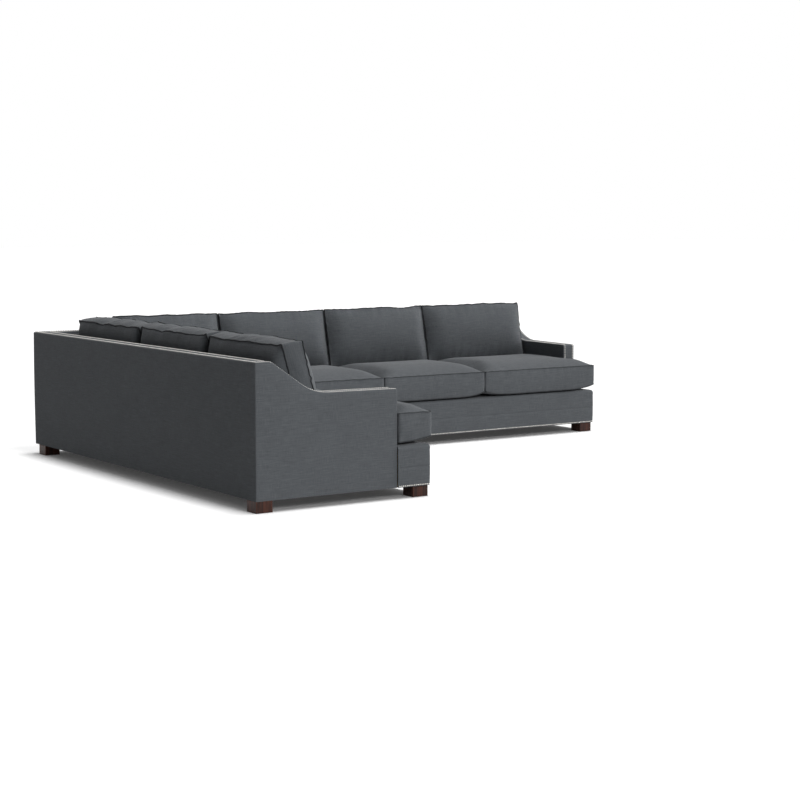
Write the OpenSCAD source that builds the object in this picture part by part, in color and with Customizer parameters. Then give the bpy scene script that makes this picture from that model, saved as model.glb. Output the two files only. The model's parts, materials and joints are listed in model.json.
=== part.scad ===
// Sectional sofa: a corner unit with one arm and a straight unit with the other arm, loose cushions
// Each wing is drawn in its own plan, u along the wing from the outer corner and v from its outside
// back to its seat front, and is then turned into place

/* [Overall] */
// Outer length of the left wing, from the outer corner to the outside of its arm
left_l = 2865; // [2700:5:3100]
// Outer length of the right wing, from the outer corner to the outside of its arm
right_l = 3727; // [3500:5:4000]
// Depth of a wing, from its outside back to the front of its seat cushions
depth = 1097; // [1040:1:1160]
// Height of the back frame
back_h = 780; // [740:1:820]
// Thickness of the back frame at its top
back_t = 95; // [85:1:110]
// Gap between the two units where they meet
unit_gap = 2; // [1:0.5:4]

/* [Arms] */
// Width of an arm
arm_w = 95; // [85:1:110]
// Height of an arm at its front
arm_h = 599; // [570:1:640]
// Angle at which an arm's top falls to its front
arm_fall = 1.2; // [0:0.1:2]
// Length of an arm, from the outside back to its front
arm_d = 874; // [820:1:900]
// Angle of the slope from the back down to the arm
arm_slope = 31.5; // [26:0.5:36]
// Where the slope would meet the top of the back, from the outside back
shoulder_v = 78; // [70:1:90]
// Radius over the shoulder
shoulder_r = 45; // [30:1:60]
// Radius of the hollow at the foot of the slope
swoop_r = 250; // [150:5:320]
// Radius at the top of the arm's front
nose_r = 12; // [10:1:20]

/* [Seat base] */
// Height of the deck that the seat cushions lie on
deck_h = 298; // [280:1:320]
// Thickness of the deck pad
deck_t = 36; // [25:1:45]
// How far the front border lies behind the cushions' front
border_set = 10; // [5:1:25]
// Thickness of the padded front border
border_t = 14; // [10:1:20]
// Width of the roll along the border's top
roll_w = 50; // [40:1:60]
// Radius of the roll along the border's top
roll_r = 25; // [15:1:27]
// Radius of the border's upright corner at an arm
corner_r = 9; // [5:1:13]
// How far the roll's top lies under the deck
roll_set = 6; // [2:1:8]
// Height of the sewn seam along the border
seam_h = 168; // [120:1:200]
// Gap between an arm's front and what stands before it
ear_gap = 4; // [2:0.5:6]
// How far the border's end lies inside the arm's outer face
ear_set = 0; // [0:1:10]

/* [Timber] */
// Thickness of the rails
rail_t = 28; // [22:1:32]
// Thickness of the back posts
post_t = 30; // [24:1:36]
// Reach of a back post at the deck, from the outside back
post_v = 190; // [170:1:205]
// Depth of the top rail
top_rail_t = 30; // [22:1:36]
// Height of the stretchers' top
stretcher_h = 200; // [160:1:215]
// Height of the sill rails' top
sill_h = 240; // [220:1:255]
// Thickness of an arm's boards
board_t = 18; // [15:1:20]
// Side of the square windows in the arm boards
window = 110; // [80:5:130]

/* [Covers] */
// Thickness of the cloth and wadding over the frame
skin = 8; // [6:0.5:10]
// Thickness of the panels where the two units meet
joint_t = 6; // [4:0.5:8]
// Thickness of the dust cover under the frame
dust_t = 1.5; // [1:0.5:3]
// Reach of the inside back at its shoulder
shoulder_pad_v = 182; // [160:1:183]
// Reach of the inside back at half its height
half_pad_v = 222; // [205:1:226]
// Reach of the inside back at the deck
low_pad_v = 232; // [222:1:236]
// Radius of the inside back's shoulder
pad_round = 60; // [40:1:70]
// How far the inside back stays under the top of the back frame
pad_set = 14; // [8:1:24]

/* [Springs] */
// Diameter of the spring wire
wire_d = 4; // [3:0.5:5]
// Width of a spring across its loops
spring_w = 50; // [40:1:60]
// Length of one loop along the spring
loop_l = 44; // [36:1:56]
// Springs under each seat
springs = 4; // [3:1:6]
// Width of a spring clip along its rail
clip_w = 20; // [15:1:30]
// Height of a spring clip on its rail
clip_h = 12; // [8:1:20]
// Reach of a spring clip under the wire
clip_l = 12; // [8:1:16]
// Thickness of a spring clip
clip_t = 1.5; // [1:0.5:3]
// Width of a webbing strap
strap_w = 50; // [40:1:60]
// Thickness of a webbing strap
strap_t = 2; // [1.5:0.5:3]

/* [Feet] */
// Height of the feet
foot_h = 62; // [45:1:90]
// Side of a square foot
foot_w = 98; // [80:1:105]
// How far the front feet stand behind the border
foot_back = 8; // [0:1:20]
// How far the feet at the outer corner and the joint stand from the wing's end
foot_in = 60; // [50:1:80]
// Diameter of the hanger bolts
bolt_d = 8; // [6:1:10]
// Clearance round a hanger bolt
bolt_gap = 0.3; // [0.2:0.05:0.5]
// Height of the blocks that take the bolts
block_h = 45; // [35:1:60]

/* [Seats] */
// Length of the corner seat along the right wing
corner_l = 1148; // [1110:1:1200]
// Length of the first seat of the right wing
inner_l = 815; // [760:1:860]
// Length of the second seat of the right wing
middle_l = 814; // [760:1:860]
// Length of the first seat of the left wing
left_inner_l = 846; // [800:1:900]
// Gap between neighbouring cushions
cushion_gap = 2; // [1:0.5:4]
// Gap between a cushion and what it lies on
soft_gap = 0.3; // [0.3:0.1:0.8]
// Height of a seat cushion's sewn side
seat_box = 166; // [140:1:180]
// Rise of a seat cushion's crown over its upper welt
seat_crown = 52; // [35:1:65]
// Lift of the lower welt at a seat cushion's front corners
seat_tuck = 30; // [15:1:40]

/* [Back cushions] */
// Lean of the back cushions
lean = 16; // [13:0.5:18]
// Height of a back cushion along its lean
cushion_h = 392; // [370:1:400]
// Width of a back cushion's sewn side
cushion_t = 130; // [115:1:140]
// Crown of a back cushion's front
front_crown = 50; // [30:1:58]
// Crown of a back cushion's back
back_crown = 66; // [40:1:70]
// Height of a back cushion's lower front welt over the deck
cushion_z = 195; // [188:1:210]
// How much taller a back cushion's back is than its front
cushion_rise = 26; // [0:1:32]
// How far a cushion's sides are drawn in between its corners
draw_in = 7; // [3:1:12]
// Run over which a cushion's crown rises from its side
crown_run = 200; // [120:5:260]
// Run over which the crown of a back cushion's front rises
front_run = 100; // [80:5:200]
// How far a cushion's corners are rounded off
corner_cut = 3; // [1:0.5:6]
// How far the top of a back cushion swells over its welts
top_swell = 4; // [2:1:12]
// Height of a seat cushion's lower welt over its underside
seat_under = 6; // [3:1:12]

/* [Unit connectors] */
// Thickness of the connector plates
plate_t = 3; // [2:0.5:4]
// Width of a connector's tongue
tongue_w = 44; // [30:1:60]
// Reach of a connector's tongue under the other unit
tongue_l = 46; // [30:1:60]
// Running gap round a tongue
tongue_gap = 0.5; // [0.3:0.1:1]

/* [Hidden] */
cloth = "#4f565a";
cloth_dark = "#3c4246";
timber = "#c9a878";
ply = "#d8bd8c";
steel = "#a7abae";
jute = "#b79a68";
lining = "#232426";
foot_wood = "#3a2019";

// Levels and lines of the frame
frame_z = foot_h + dust_t;
rail_z = deck_h - deck_t;
border_v = depth - border_set;
rail_v = border_v - border_t;
roll_v = border_v - roll_w;
inner_v = rail_v - rail_t;
sill_v = skin + rail_t;
spring_v = post_v + rail_t;
back_in = back_t - skin;
top_rail_z = back_h - skin - top_rail_t;
rake = (post_v - back_in) / (top_rail_z - rail_z);
left_in = left_l - arm_w;
right_in = right_l - arm_w;
unit_u = corner_l + unit_gap;
seat_1 = corner_l + inner_l;
seat_2 = seat_1 + middle_l;
left_seat = depth + cushion_gap / 2;
left_seat_2 = left_seat + left_inner_l;
ear_v = arm_d + ear_gap;
seat_v = low_pad_v + 4 * soft_gap;
big = right_l * 2;
border_top = deck_h - roll_set;

// Share of a back cushion's rear crown where the shoulder of the inside back meets it
shoulder_share = 0.97;
// Share of a back cushion's front crown that stands before its lower front welt
front_share = 0.66;
shoulder_c = cushion_t + shoulder_share * back_crown;
shoulder_z = back_h - pad_set - pad_round - deck_h - cushion_z;
// Where a back cushion's lower front welt stands when it leans on the inside back's shoulder
cushion_v = shoulder_pad_v + soft_gap + shoulder_c * cos(lean)
            + (shoulder_z + shoulder_c * sin(lean)) * tan(lean);
// Where the corner's right back cushion starts, before the front of the left one
corner_start = cushion_v + front_share * front_crown;

// Depth of the sewn seam along a border
seam_in = 1.5;
// Least drop of a seat cushion's side at half its height under the face that presses on it
side_drop = 30;
// Share of a seat's tuck that its underside takes
under_tuck = 0.9;
// Windows in an arm's boards: where they start along it, how far up it, and their height by width
window_at = [0.16, 0.43, 0.7];
window_up = 0.28;
window_tall = 1.6;
// Length of the blocks between an arm's boards, and where the middle one starts along the arm
spacer_l = window * 0.75;
spacer_at = 0.58;
// Height in the foot where a hanger bolt starts
bolt_low = foot_h * 0.35;
// Side of the post in the outer corner
corner_post = post_t * 1.5;

// Turning each wing into the sofa's frame, which starts at the middle of its box on the floor
module left_wing() translate([-right_l / 2, left_l / 2, 0]) rotate([0, 0, -90]) children();
module right_wing() translate([-right_l / 2, left_l / 2, 0]) mirror([0, 1, 0]) children();

// Block from one corner to the other
module block(low, high) translate(low) cube(high - low);

// Outline in v and z, drawn along u
module along(from, to)
  translate([from, 0, 0]) rotate([90, 0, 90]) linear_extrude(to - from) children();

// Keeps the side of the wing's own back at the line where the two wings meet
module mitred() {
  difference() {
    children();
    translate([0, 0, -1]) linear_extrude(back_h + 2) polygon([[-1, -1], [big, big], [-1, big]]);
  }
}

function arc(c, r, from, to, n) =
  [for (i = [0:n]) c + r * [cos(from + (to - from) * i / n), sin(from + (to - from) * i / n)]];

// Height of an arm's top before the foot of its slope
function arm_top(v) = arm_h + (arm_d - v) * tan(arm_fall);

// Arm outline in v and z, set in by d all round, from a rear line and a lower line
function arm_outline(d, rear, low) =
  let (over = [shoulder_v - shoulder_r * tan(arm_slope / 2), back_h - shoulder_r],
       run = (back_h - arm_top(shoulder_v)) / (tan(arm_slope) - tan(arm_fall)),
       reach = swoop_r * tan((arm_slope - arm_fall) / 2),
       under = [shoulder_v + run + reach * cos(arm_fall) + swoop_r * sin(arm_fall),
                back_h - run * tan(arm_slope) - reach * sin(arm_fall) + swoop_r * cos(arm_fall)],
       nose = [arm_d - nose_r, arm_top(arm_d - nose_r) - nose_r / cos(arm_fall)])
  concat([[arm_d - d, low], [arm_d - d, nose[1]]],
         arc(nose, nose_r - d, 15, 90 - arm_fall, 4),
         arc(under, swoop_r + d, 270 - arm_fall, 270 - arm_slope, 8),
         arc(over, shoulder_r - d, 90 - arm_slope, 90, 6),
         [[rear, back_h - d], [rear, low]]);

// Loose cushions, each a boxed form over a grid of lines in its own plan

// Share of the crown at a place that lies d inside the nearest side
function puff(d, run = crown_run) = 1 - pow(1 - min(1, max(0, d) / run), 2.6);

// Places round the edge of a grid whose columns past nb exist only from row je on
function edge_loop(nu, nv, nb, je) =
  concat([for (i = [0:nb]) [i, 0]],
         nb < nu ? concat([for (j = [1:je]) [nb, j]], [for (i = [nb + 1:nu]) [i, je]],
                          [for (j = [je + 1:nv]) [nu, j]])
                 : [for (j = [1:nv]) [nb, j]],
         [for (i = [nu - 1:-1:0]) [i, nv]], [for (j = [nv - 1:-1:1]) [0, j]]);

// Closed form from a lower and an upper skin of points, with rings between their edges
module boxed(low, high, rings, nb, je) {
  nu = len(low) - 1;
  nv = len(low[0]) - 1;
  loop = edge_loop(nu, nv, nb, je);
  n = len(loop);
  skin_n = (nu + 1) * (nv + 1);
  last = len(rings) + 1;
  function grid(i, j) = i * (nv + 1) + j;
  function edge(k, m) =
    let (p = loop[m % n])
    k == 0 ? grid(p[0], p[1])
           : k == last ? skin_n + grid(p[0], p[1]) : 2 * skin_n + (k - 1) * n + m % n;
  cells = [for (i = [0:nu - 1], j = [0:nv - 1]) if (i < nb || j >= je) [i, j]];
  points = concat([for (column = low) each column], [for (column = high) each column],
                  [for (ring = rings) each [for (p = loop) ring[p[0]][p[1]]]]);
  faces = concat(
    [for (c = cells) let (p = grid(c[0], c[1]), q = p + nv + 1) each [[p, q, q + 1], [p, q + 1, p + 1]]],
    [for (c = cells) let (p = skin_n + grid(c[0], c[1]), q = p + nv + 1)
      each [[p, q + 1, q], [p, p + 1, q + 1]]],
    [for (k = [0:last - 1], m = [0:n - 1]) each [
      [edge(k, m), edge(k + 1, m + 1), edge(k, m + 1)],
      [edge(k, m), edge(k + 1, m), edge(k + 1, m + 1)]]]);
  polyhedron(points, faces);
}

// Lines of a grid from a to b, close together at the sides
function lines(a, b) = [for (t = [0, 0.03, 0.1, 0.23, 0.41, 0.59, 0.77, 0.9, 0.97, 1]) a + (b - a) * t];

// How far a side is drawn in at a share t of its length, most in its middle, with its corners rounded
function drawn(t, d) = d * (1 - pow(2 * t - 1, 2)) + (t * (1 - t) == 0 ? corner_cut : 0);

// Seat cushion from u = a to b, with an ear before the arm out to u = ear where that is over 0,
// pressed down by the back cushion behind it and, where corner is true, by the one at its side
module seat_cushion(a, b, ear = 0, corner = false) {
  u0 = a + cushion_gap / 2;
  u1 = b - cushion_gap / 2;
  ear_line = ear_v + cushion_gap;
  front = depth - ear_line;
  body = lines(u0, u1);
  us = ear > 0 ? concat(body, [u1 + (ear - u1) * 0.6, ear]) : body;
  vs = ear > 0 ? concat([for (v = lines(seat_v, depth)) if (v < ear_line - front / 4) v],
                        [for (t = [0, 0.14, 0.41, 0.68, 0.91, 1]) ear_line + front * t])
               : lines(seat_v, depth);
  nb = len(body) - 1;
  je = ear > 0 ? search(ear_line, vs)[0] : 0;
  z0 = deck_h + soft_gap;
  z1 = z0 + seat_box;
  far = ear > 0 ? ear : u1;
  // Height of the face that a back cushion presses on
  function face_z(v) = deck_h + cushion_z - soft_gap / cos(lean) + (v - cushion_v) * tan(lean);
  function pressed(u, v) = corner ? min(face_z(v), face_z(u)) : face_z(v);
  function end_u(v) = v > ear_line ? far : u1;
  function rear_v(u) = u > u1 ? ear_line : seat_v;
  function rise(u, v) = puff(min(u - u0, end_u(v) - u)) * puff(min(depth - v, v - rear_v(u)));
  function tuck(u, v) = seat_tuck * pow(abs(2 * u - u0 - far) / (far - u0), 6)
                        * pow(max(0, (v - seat_v) / (depth - seat_v)), 8);
  function place(u, v, d, z) =
    let (s = (u - u0) / (end_u(v) - u0), t = (v - seat_v) / (depth - seat_v))
    [u + drawn(t, d) * (u == u0 ? 1 : u == far && s == 1 ? -1 : 0),
     v - (v == depth ? drawn(s, d) : 0), z];
  boxed([for (u = us) [for (v = vs) place(u, v, draw_in + seat_under, z0 + under_tuck * tuck(u, v))]],
        [for (u = us) [for (v = vs)
          place(u, v, draw_in, min(z1 + seat_crown * rise(u, v), pressed(u, v)))]],
        [[for (u = us) [for (v = vs) place(u, v, draw_in, z0 + seat_under + tuck(u, v))]],
         [for (u = us) [for (v = vs) place(u, v, 0, min((z0 + z1) / 2, pressed(u, v) - side_drop))]]],
        nb, je);
}

// Back cushion from u = a to b, leaning on the inside back, its back taller than its front
module back_cushion(a, b) {
  w = b - a - cushion_gap;
  as = lines(0, w);
  bs = lines(0, cushion_h);
  function share(x, y, run) =
    puff(min(x, w - x), run) * puff(min(y, cushion_h - y), run) * (1.1 - 0.2 * y / cushion_h);
  function place(x, y, c, d, top) =
    let (s = x / w, t = y / cushion_h)
    [x + (x == 0 ? drawn(t, d) : x == w ? -drawn(t, d) : 0),
     y * (1 - c / cushion_t * cushion_rise / cushion_h) - (y == cushion_h ? drawn(s, top) : 0), c];
  translate([a + cushion_gap / 2, cushion_v, deck_h + cushion_z])
    rotate([90 + lean, 0, 0]) mirror([0, 0, 1])
      boxed([for (x = as) [for (y = bs)
              place(x, y, -cushion_t - back_crown * share(x, y, crown_run), draw_in, 0)]],
            [for (x = as) [for (y = bs)
              place(x, y, front_crown * share(x, y, front_run), draw_in, 0)]],
            [[for (x = as) [for (y = bs) place(x, y, -cushion_t / 2, 0, -top_swell)]]],
            len(as) - 1, 0);
}

// Timber

module front_rail(a, b) block([a, inner_v, frame_z], [b, rail_v, rail_z]);
module ear_rails(l) {
  block([l - arm_w, ear_v, frame_z], [l - ear_set - border_t, ear_v + rail_t, rail_z]);
  block([l - ear_set - border_t - rail_t, ear_v + rail_t, frame_z],
        [l - ear_set - border_t, inner_v, rail_z]);
}
module sill_rail(a, b) block([a, skin, frame_z], [b, sill_v, sill_h]);
module stretcher(u) block([u, sill_v, frame_z], [u + rail_t, inner_v, stretcher_h]);
module end_rail(u) block([u, sill_v, frame_z], [u + rail_t, inner_v, rail_z]);
module spring_rail(a, b) block([a, post_v, stretcher_h], [b, spring_v, rail_z]);
module post(u) {
  along(u, u + post_t)
    polygon([[skin, sill_h], [skin, top_rail_z], [back_in, top_rail_z], [post_v, rail_z],
             [post_v, stretcher_h], [sill_v, stretcher_h], [sill_v, sill_h]]);
}
module top_rail(a, b) block([a, skin, top_rail_z], [b, back_in, top_rail_z + top_rail_t]);

// Posts between two places, the first and the last against them
function post_places(a, b, n) = [for (i = [0:n - 1]) a + (b - post_t - a) * i / (n - 1)];

module arm_boards(l) {
  for (u = [l - arm_w + skin, l - skin - board_t])
    difference() {
      along(u, u + board_t) polygon(arm_outline(skin, skin, frame_z));
      for (share = window_at)
        translate([u - 1, arm_d * share, frame_z + (arm_h - frame_z) * window_up])
          block([0, 0, 0], [board_t + 2, window, window * window_tall]);
    }
}
module arm_spacers(l) {
  u0 = l - arm_w + skin + board_t;
  u1 = l - skin - board_t;
  mid_v = arm_d * spacer_at;
  difference() {
    block([u0, skin, frame_z], [u1, skin + foot_w, frame_z + block_h]);
    bolt_bore(arm_foot(l), frame_z - 1);
  }
  block([u0, arm_d - skin - spacer_l, frame_z], [u1, arm_d - skin, frame_z + block_h]);
  for (v = [mid_v + spacer_l, arm_d - nose_r])
    let (top = arm_top(v) - skin / cos(arm_fall))
      block([u0, v - spacer_l, top - block_h], [u1, v, top]);
  block([u0, skin, top_rail_z], [u1, shoulder_v - shoulder_r * 0.5, top_rail_z + top_rail_t]);
}

// Springs and webbing

// Centre line of a spring that runs from v = a to b, in whole loops
function wave(a, b) =
  let (n = floor((b - a) / loop_l), pitch = (b - a) / n, r = pitch / 4, reach = spring_w / 2 - r)
  concat([[0, a]],
    [for (i = [0:2 * n - 1]) let (side = i % 2 == 0 ? 1 : -1, c = a + (i + 0.5) * pitch / 2)
      each [for (t = [0:3]) [side * (reach + r * sin(60 * t)), c - r * cos(60 * t)]]],
    [[0, b]]);
function normal_at(p, i) =
  let (d = p[min(i + 1, len(p) - 1)] - p[max(i - 1, 0)]) [-d[1], d[0]] / norm(d);
module spring(u, a, b) {
  line = wave(a + wire_d / 2, b - wire_d / 2);
  last = len(line) - 1;
  edge = [for (i = [0:last]) normal_at(line, i) * wire_d / 2];
  translate([u, 0, rail_z - wire_d])
    linear_extrude(wire_d)
      polygon(concat([for (i = [0:last]) line[i] + edge[i]],
                     [for (i = [last:-1:0]) line[i] - edge[i]]));
}
function spring_places(a, b) = [for (i = [0:springs - 1]) a + (b - a) * (i + 0.5) / springs];
module clip(u, v, way) {
  translate([u - clip_w / 2, v, rail_z - wire_d])
    rotate([90, 0, 90]) linear_extrude(clip_w)
      polygon([[0, -clip_h], [way * clip_t, -clip_h], [way * clip_t, -clip_t],
               [way * clip_l, -clip_t], [way * clip_l, 0], [0, 0]]);
}
module seat_springs(a, b, from, to) for (u = spring_places(a, b)) spring(u, from, to);
module seat_clips(a, b, from, to)
  for (u = spring_places(a, b)) {
    clip(u, from, 1);
    clip(u, to, -1);
  }
module webbing(a, b, n) {
  low = rail_z;
  for (i = [0:n - 1])
    let (u = a + (b - a) * (i + 0.5) / n - strap_w / 2)
      along(u, u + strap_w)
        polygon([[post_v, low], [post_v + strap_t, low],
                 [back_in + strap_t, top_rail_z], [back_in, top_rail_z]]);
}

// Padding and covers

module inside_back(a, b) {
  top = back_h - pad_set;
  mid = (top + deck_h) / 2 - pad_round * 0.75;
  foot = back_in + strap_t + rake * (top_rail_z - deck_h);
  along(a, b)
    polygon(concat([[foot, deck_h], [low_pad_v, deck_h], [half_pad_v, mid]],
                   arc([shoulder_pad_v - pad_round, top - pad_round], pad_round, 5, 90, 6),
                   [[back_t, top], [back_t, top_rail_z - (skin - strap_t) / rake]]));
}
module back_cover(a, b) {
  along(a, b)
    polygon(concat([[0, foot_h]], arc([skin, back_h - skin], skin, 180, 90, 4),
                   arc([back_in, back_h - skin], skin, 90, 0, 4),
                   [[back_t, top_rail_z], [back_in, top_rail_z],
                    [back_in, back_h - skin], [skin, back_h - skin], [skin, foot_h]]));
}
// Back cover from u = a that runs on as the outside back of the arm whose outer face is at u = l
module outside_back(a, l) {
  back_cover(a, l - arm_w);
  block([l - arm_w - skin, 0, foot_h], [l - skin, skin, back_h - skin]);
}
module arm_cover(l) {
  difference() {
    along(l - arm_w, l) polygon(arm_outline(0, 0, foot_h));
    along(l - arm_w + skin, l - skin) polygon(arm_outline(skin, -1, foot_h - 1));
    block([l - arm_w - 1, -1, foot_h - 1], [l - arm_w + skin + 1, skin, back_h - skin]);
  }
}
function border_outline(v) =
  concat([[v, foot_h], [v, seam_h - seam_in], [v - seam_in, seam_h], [v, seam_h + seam_in]],
         arc([v - roll_r, border_top - roll_r], roll_r, 0, 90, 6),
         [[v - roll_w, border_top], [v - roll_w, rail_z], [v - border_t, rail_z],
          [v - border_t, foot_h]]);
module border(a, b) along(a, b) polygon(border_outline(border_v));
// Border from u = a to the outside of an arm at u = l, mitred there and turned back to the arm
module ear_border(a, l) {
  end = l - ear_set;
  difference() {
    union() {
      difference() {
        border(a, end);
        past_mitre(end, [1, -1]);
      }
      difference() {
        translate([end - border_v, border_v, 0]) rotate([90, 0, 0])
          linear_extrude(border_v - ear_v) polygon(border_outline(border_v));
        past_mitre(end, [-1, 1]);
      }
    }
    difference() {
      block([end - corner_r, border_v - corner_r, foot_h - 1], [end + 1, border_v + 1, deck_h]);
      translate([end - corner_r, border_v - corner_r, foot_h - 2])
        cylinder(r = corner_r, h = deck_h, $fn = 32);
    }
  }
}
// All that lies past the mitre at a border's corner, on the side that a direction in u and v gives
module past_mitre(end, way) {
  far = 2 * roll_w;
  translate([end, border_v, foot_h - 1]) linear_extrude(deck_h)
    polygon([[1, 1], [-far, -far], way * far]);
}
module deck(a, l) {
  block([a, post_v + strap_t, rail_z], [l - arm_w, roll_v, deck_h]);
  block([l - arm_w, ear_v, rail_z], [l - ear_set - roll_w, roll_v, deck_h]);
}
module joint_panel(u) {
  along(u, u + joint_t)
    polygon([[skin, frame_z], [rail_v, frame_z], [rail_v, rail_z], [post_v, rail_z],
             [back_in, top_rail_z], [skin, top_rail_z]]);
}

// Feet, each given as its middle in u and v and then the place of its bolt

module foot(at) {
  difference() {
    translate([at[0] - foot_w / 2, at[1] - foot_w / 2, 0]) cube([foot_w, foot_w, foot_h]);
    bolt_bore(at, bolt_low);
  }
}
module bolt_bore(at, low)
  translate([at[2], at[3], low])
    cylinder(d = bolt_d + 2 * bolt_gap, h = frame_z + block_h + 1 - low, $fn = 32);
module hanger_bolt(at)
  translate([at[2], at[3], bolt_low + bolt_gap])
    cylinder(d = bolt_d, h = frame_z + block_h - bolt_low - 2 * bolt_gap, $fn = 32);
module foot_block(at, low, high) {
  difference() {
    block([low[0], low[1], frame_z], [high[0], high[1], frame_z + block_h]);
    bolt_bore(at, frame_z - 1);
  }
}
module rear_block(at)
  foot_block(at, [at[2] - foot_w / 4, sill_v], [at[2] + foot_w / 4, sill_v + foot_w / 2]);
module front_block(at)
  foot_block(at, [at[2] - foot_w / 4, inner_v - foot_w * 0.6], [at[2] + foot_w / 4, inner_v]);
module ear_block(at, l)
  foot_block(at, [l - arm_w, ear_v + rail_t], [l - ear_set - border_t - rail_t, inner_v]);
module middle_block(at)
  foot_block(at, [at[2] - foot_w / 4, at[3] - foot_w / 2], [at[2] + foot_w / 4, at[3] + foot_w / 2]);

rear_bolt_v = sill_v + foot_w / 4;
front_bolt_v = inner_v - foot_w / 6;
front_foot_v = border_v - foot_back - foot_w / 2;
ear_bolt = (arm_w + ear_set + border_t + rail_t) / 2;
function rear_foot(u) = [u, foot_w / 2, u, rear_bolt_v];
function front_foot(u) = [u, front_foot_v, u, front_bolt_v];
function ear_foot(l) =
  [l - ear_set - foot_back - foot_w / 2, front_foot_v, l - ear_bolt, front_bolt_v];
function arm_foot(l) = [l - foot_w / 2, foot_w / 2, l - arm_w / 2, foot_w / 2];
function middle_foot(u) = [u + rail_t + foot_w / 4, depth / 2, u + rail_t + foot_w / 4, depth / 2];

// Frame lines of each unit
left_end_u = left_in - rail_t;
joint_u = corner_l - joint_t - rail_t;
right_start = unit_u + joint_t;
right_end_u = right_in - rail_t;
left_stretcher = left_seat - rail_t / 2;
left_stretcher_2 = left_seat_2 - rail_t / 2;
right_stretcher = seat_1 - rail_t / 2;
right_stretcher_2 = seat_2 - rail_t / 2;
left_outer_foot = rear_foot(foot_in + foot_w / 2);
joint_rear_foot = rear_foot(corner_l - foot_in - foot_w / 2);
joint_front_foot = front_foot(joint_u - foot_w / 4);
right_first_foot = rear_foot(unit_u + foot_in + foot_w / 2);
right_front_foot = front_foot(unit_u + foot_in + foot_w / 2);

module unit_dust_cover(a, l, feet) {
  difference() {
    union() {
      block([a, skin, foot_h], [l - arm_w, rail_v, frame_z]);
      block([l - arm_w, ear_v, foot_h], [l - ear_set - border_t, rail_v, frame_z]);
      block([l - arm_w + skin, skin, foot_h], [l - skin, arm_d - skin, frame_z]);
    }
    for (at = feet) bolt_bore(at, foot_h - 1);
  }
}

// Plates under the units that hook them together, one in the first third and one in the last
connector_v = [depth * 0.3, depth * 0.7];
connector_l = tongue_l + 14;
slot_h = plate_t + 2 * tongue_gap;

// Corner unit, the root of the sofa

module left_front_rails() {
  color(timber) {
    left_wing() {
      mitred() front_rail(inner_v, left_l - ear_set - border_t);
      ear_rails(left_l);
    }
    right_wing() mitred() front_rail(inner_v, corner_l - joint_t);
  }
}
module left_rear_rails() {
  color(timber) {
    left_wing() {
      sill_rail(skin, left_in);
      spring_rail(post_v, left_end_u);
    }
    right_wing() {
      sill_rail(sill_v, corner_l - joint_t);
      spring_rail(spring_v, joint_u);
    }
  }
}
module left_stretchers() {
  color(timber) {
    left_wing() {
      for (u = [left_stretcher, left_stretcher_2]) stretcher(u);
      end_rail(left_end_u);
    }
    right_wing() end_rail(joint_u);
  }
}
module left_foot_blocks() {
  color(timber) {
    left_wing() {
      rear_block(left_outer_foot);
      ear_block(ear_foot(left_l), left_l);
      middle_block(middle_foot(left_stretcher_2));
    }
    right_wing() {
      rear_block(joint_rear_foot);
      front_block(joint_front_foot);
    }
  }
}
module left_back_posts() {
  color(timber) {
    left_wing() {
      for (u = post_places(spring_v, left_end_u, 5)) post(u);
      block([skin, skin, sill_h], [skin + corner_post, skin + corner_post, top_rail_z]);
    }
    right_wing() for (u = post_places(spring_v, joint_u, 3)) post(u);
  }
}
module left_top_rails() {
  color(timber) {
    left_wing() top_rail(skin, left_in);
    right_wing() top_rail(back_in, corner_l - joint_t);
  }
}
module left_arm_boards() color(ply) left_wing() arm_boards(left_l);
module left_arm_spacers() color(timber) left_wing() arm_spacers(left_l);
module left_seat_springs() {
  color(steel) left_wing() {
    seat_springs(left_seat, left_seat_2, spring_v, inner_v);
    seat_springs(left_seat_2, left_end_u, spring_v, inner_v);
    seat_springs(spring_v, left_stretcher, spring_v, joint_u);
  }
}
module left_spring_clips() {
  color(steel) left_wing() {
    seat_clips(left_seat, left_seat_2, spring_v, inner_v);
    seat_clips(left_seat_2, left_end_u, spring_v, inner_v);
    seat_clips(spring_v, left_stretcher, spring_v, joint_u);
  }
}
module left_back_webbing() {
  color(jute) {
    left_wing() webbing(spring_v + post_t, left_end_u - post_t, 8);
    right_wing() webbing(spring_v + post_t, joint_u - post_t, 4);
  }
}
module left_deck() color(cloth_dark) left_wing() deck(left_seat, left_l);
module corner_deck() {
  back = post_v + strap_t;
  color(cloth_dark) right_wing() translate([0, 0, rail_z]) linear_extrude(deck_t)
    polygon([[back, back], [corner_l, back], [corner_l, roll_v], [roll_v, roll_v],
             [roll_v, left_seat], [back, left_seat]]);
}
module left_inside_back() color(cloth_dark) left_wing() mitred() inside_back(back_t, left_in);
module corner_inside_back() color(cloth_dark) right_wing() mitred() inside_back(back_t, corner_l);
module left_back_cover() color(cloth) left_wing() mitred() outside_back(0, left_l);
module corner_back_cover() color(cloth) right_wing() mitred() back_cover(0, corner_l);
module left_arm_cover() color(cloth) left_wing() arm_cover(left_l);
module left_front_border() {
  color(cloth) {
    left_wing() {
      mitred() ear_border(roll_v, left_l);
    }
    right_wing() mitred() border(roll_v, corner_l);
  }
}
module left_joint_panel() color(lining) right_wing() joint_panel(corner_l - joint_t);
module left_dust_cover() {
  color(lining) {
    left_wing()
      unit_dust_cover(left_seat, left_l,
                      [ear_foot(left_l), arm_foot(left_l), middle_foot(left_stretcher_2)]);
    right_wing() difference() {
      translate([0, 0, foot_h]) linear_extrude(dust_t)
        polygon([[skin, skin], [corner_l, skin], [corner_l, rail_v], [rail_v, rail_v],
                 [rail_v, left_seat], [skin, left_seat]]);
      for (at = [joint_rear_foot, joint_front_foot]) bolt_bore(at, foot_h - 1);
      bolt_bore([0, 0, rear_bolt_v, foot_in + foot_w / 2], foot_h - 1);
    }
  }
}
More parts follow.
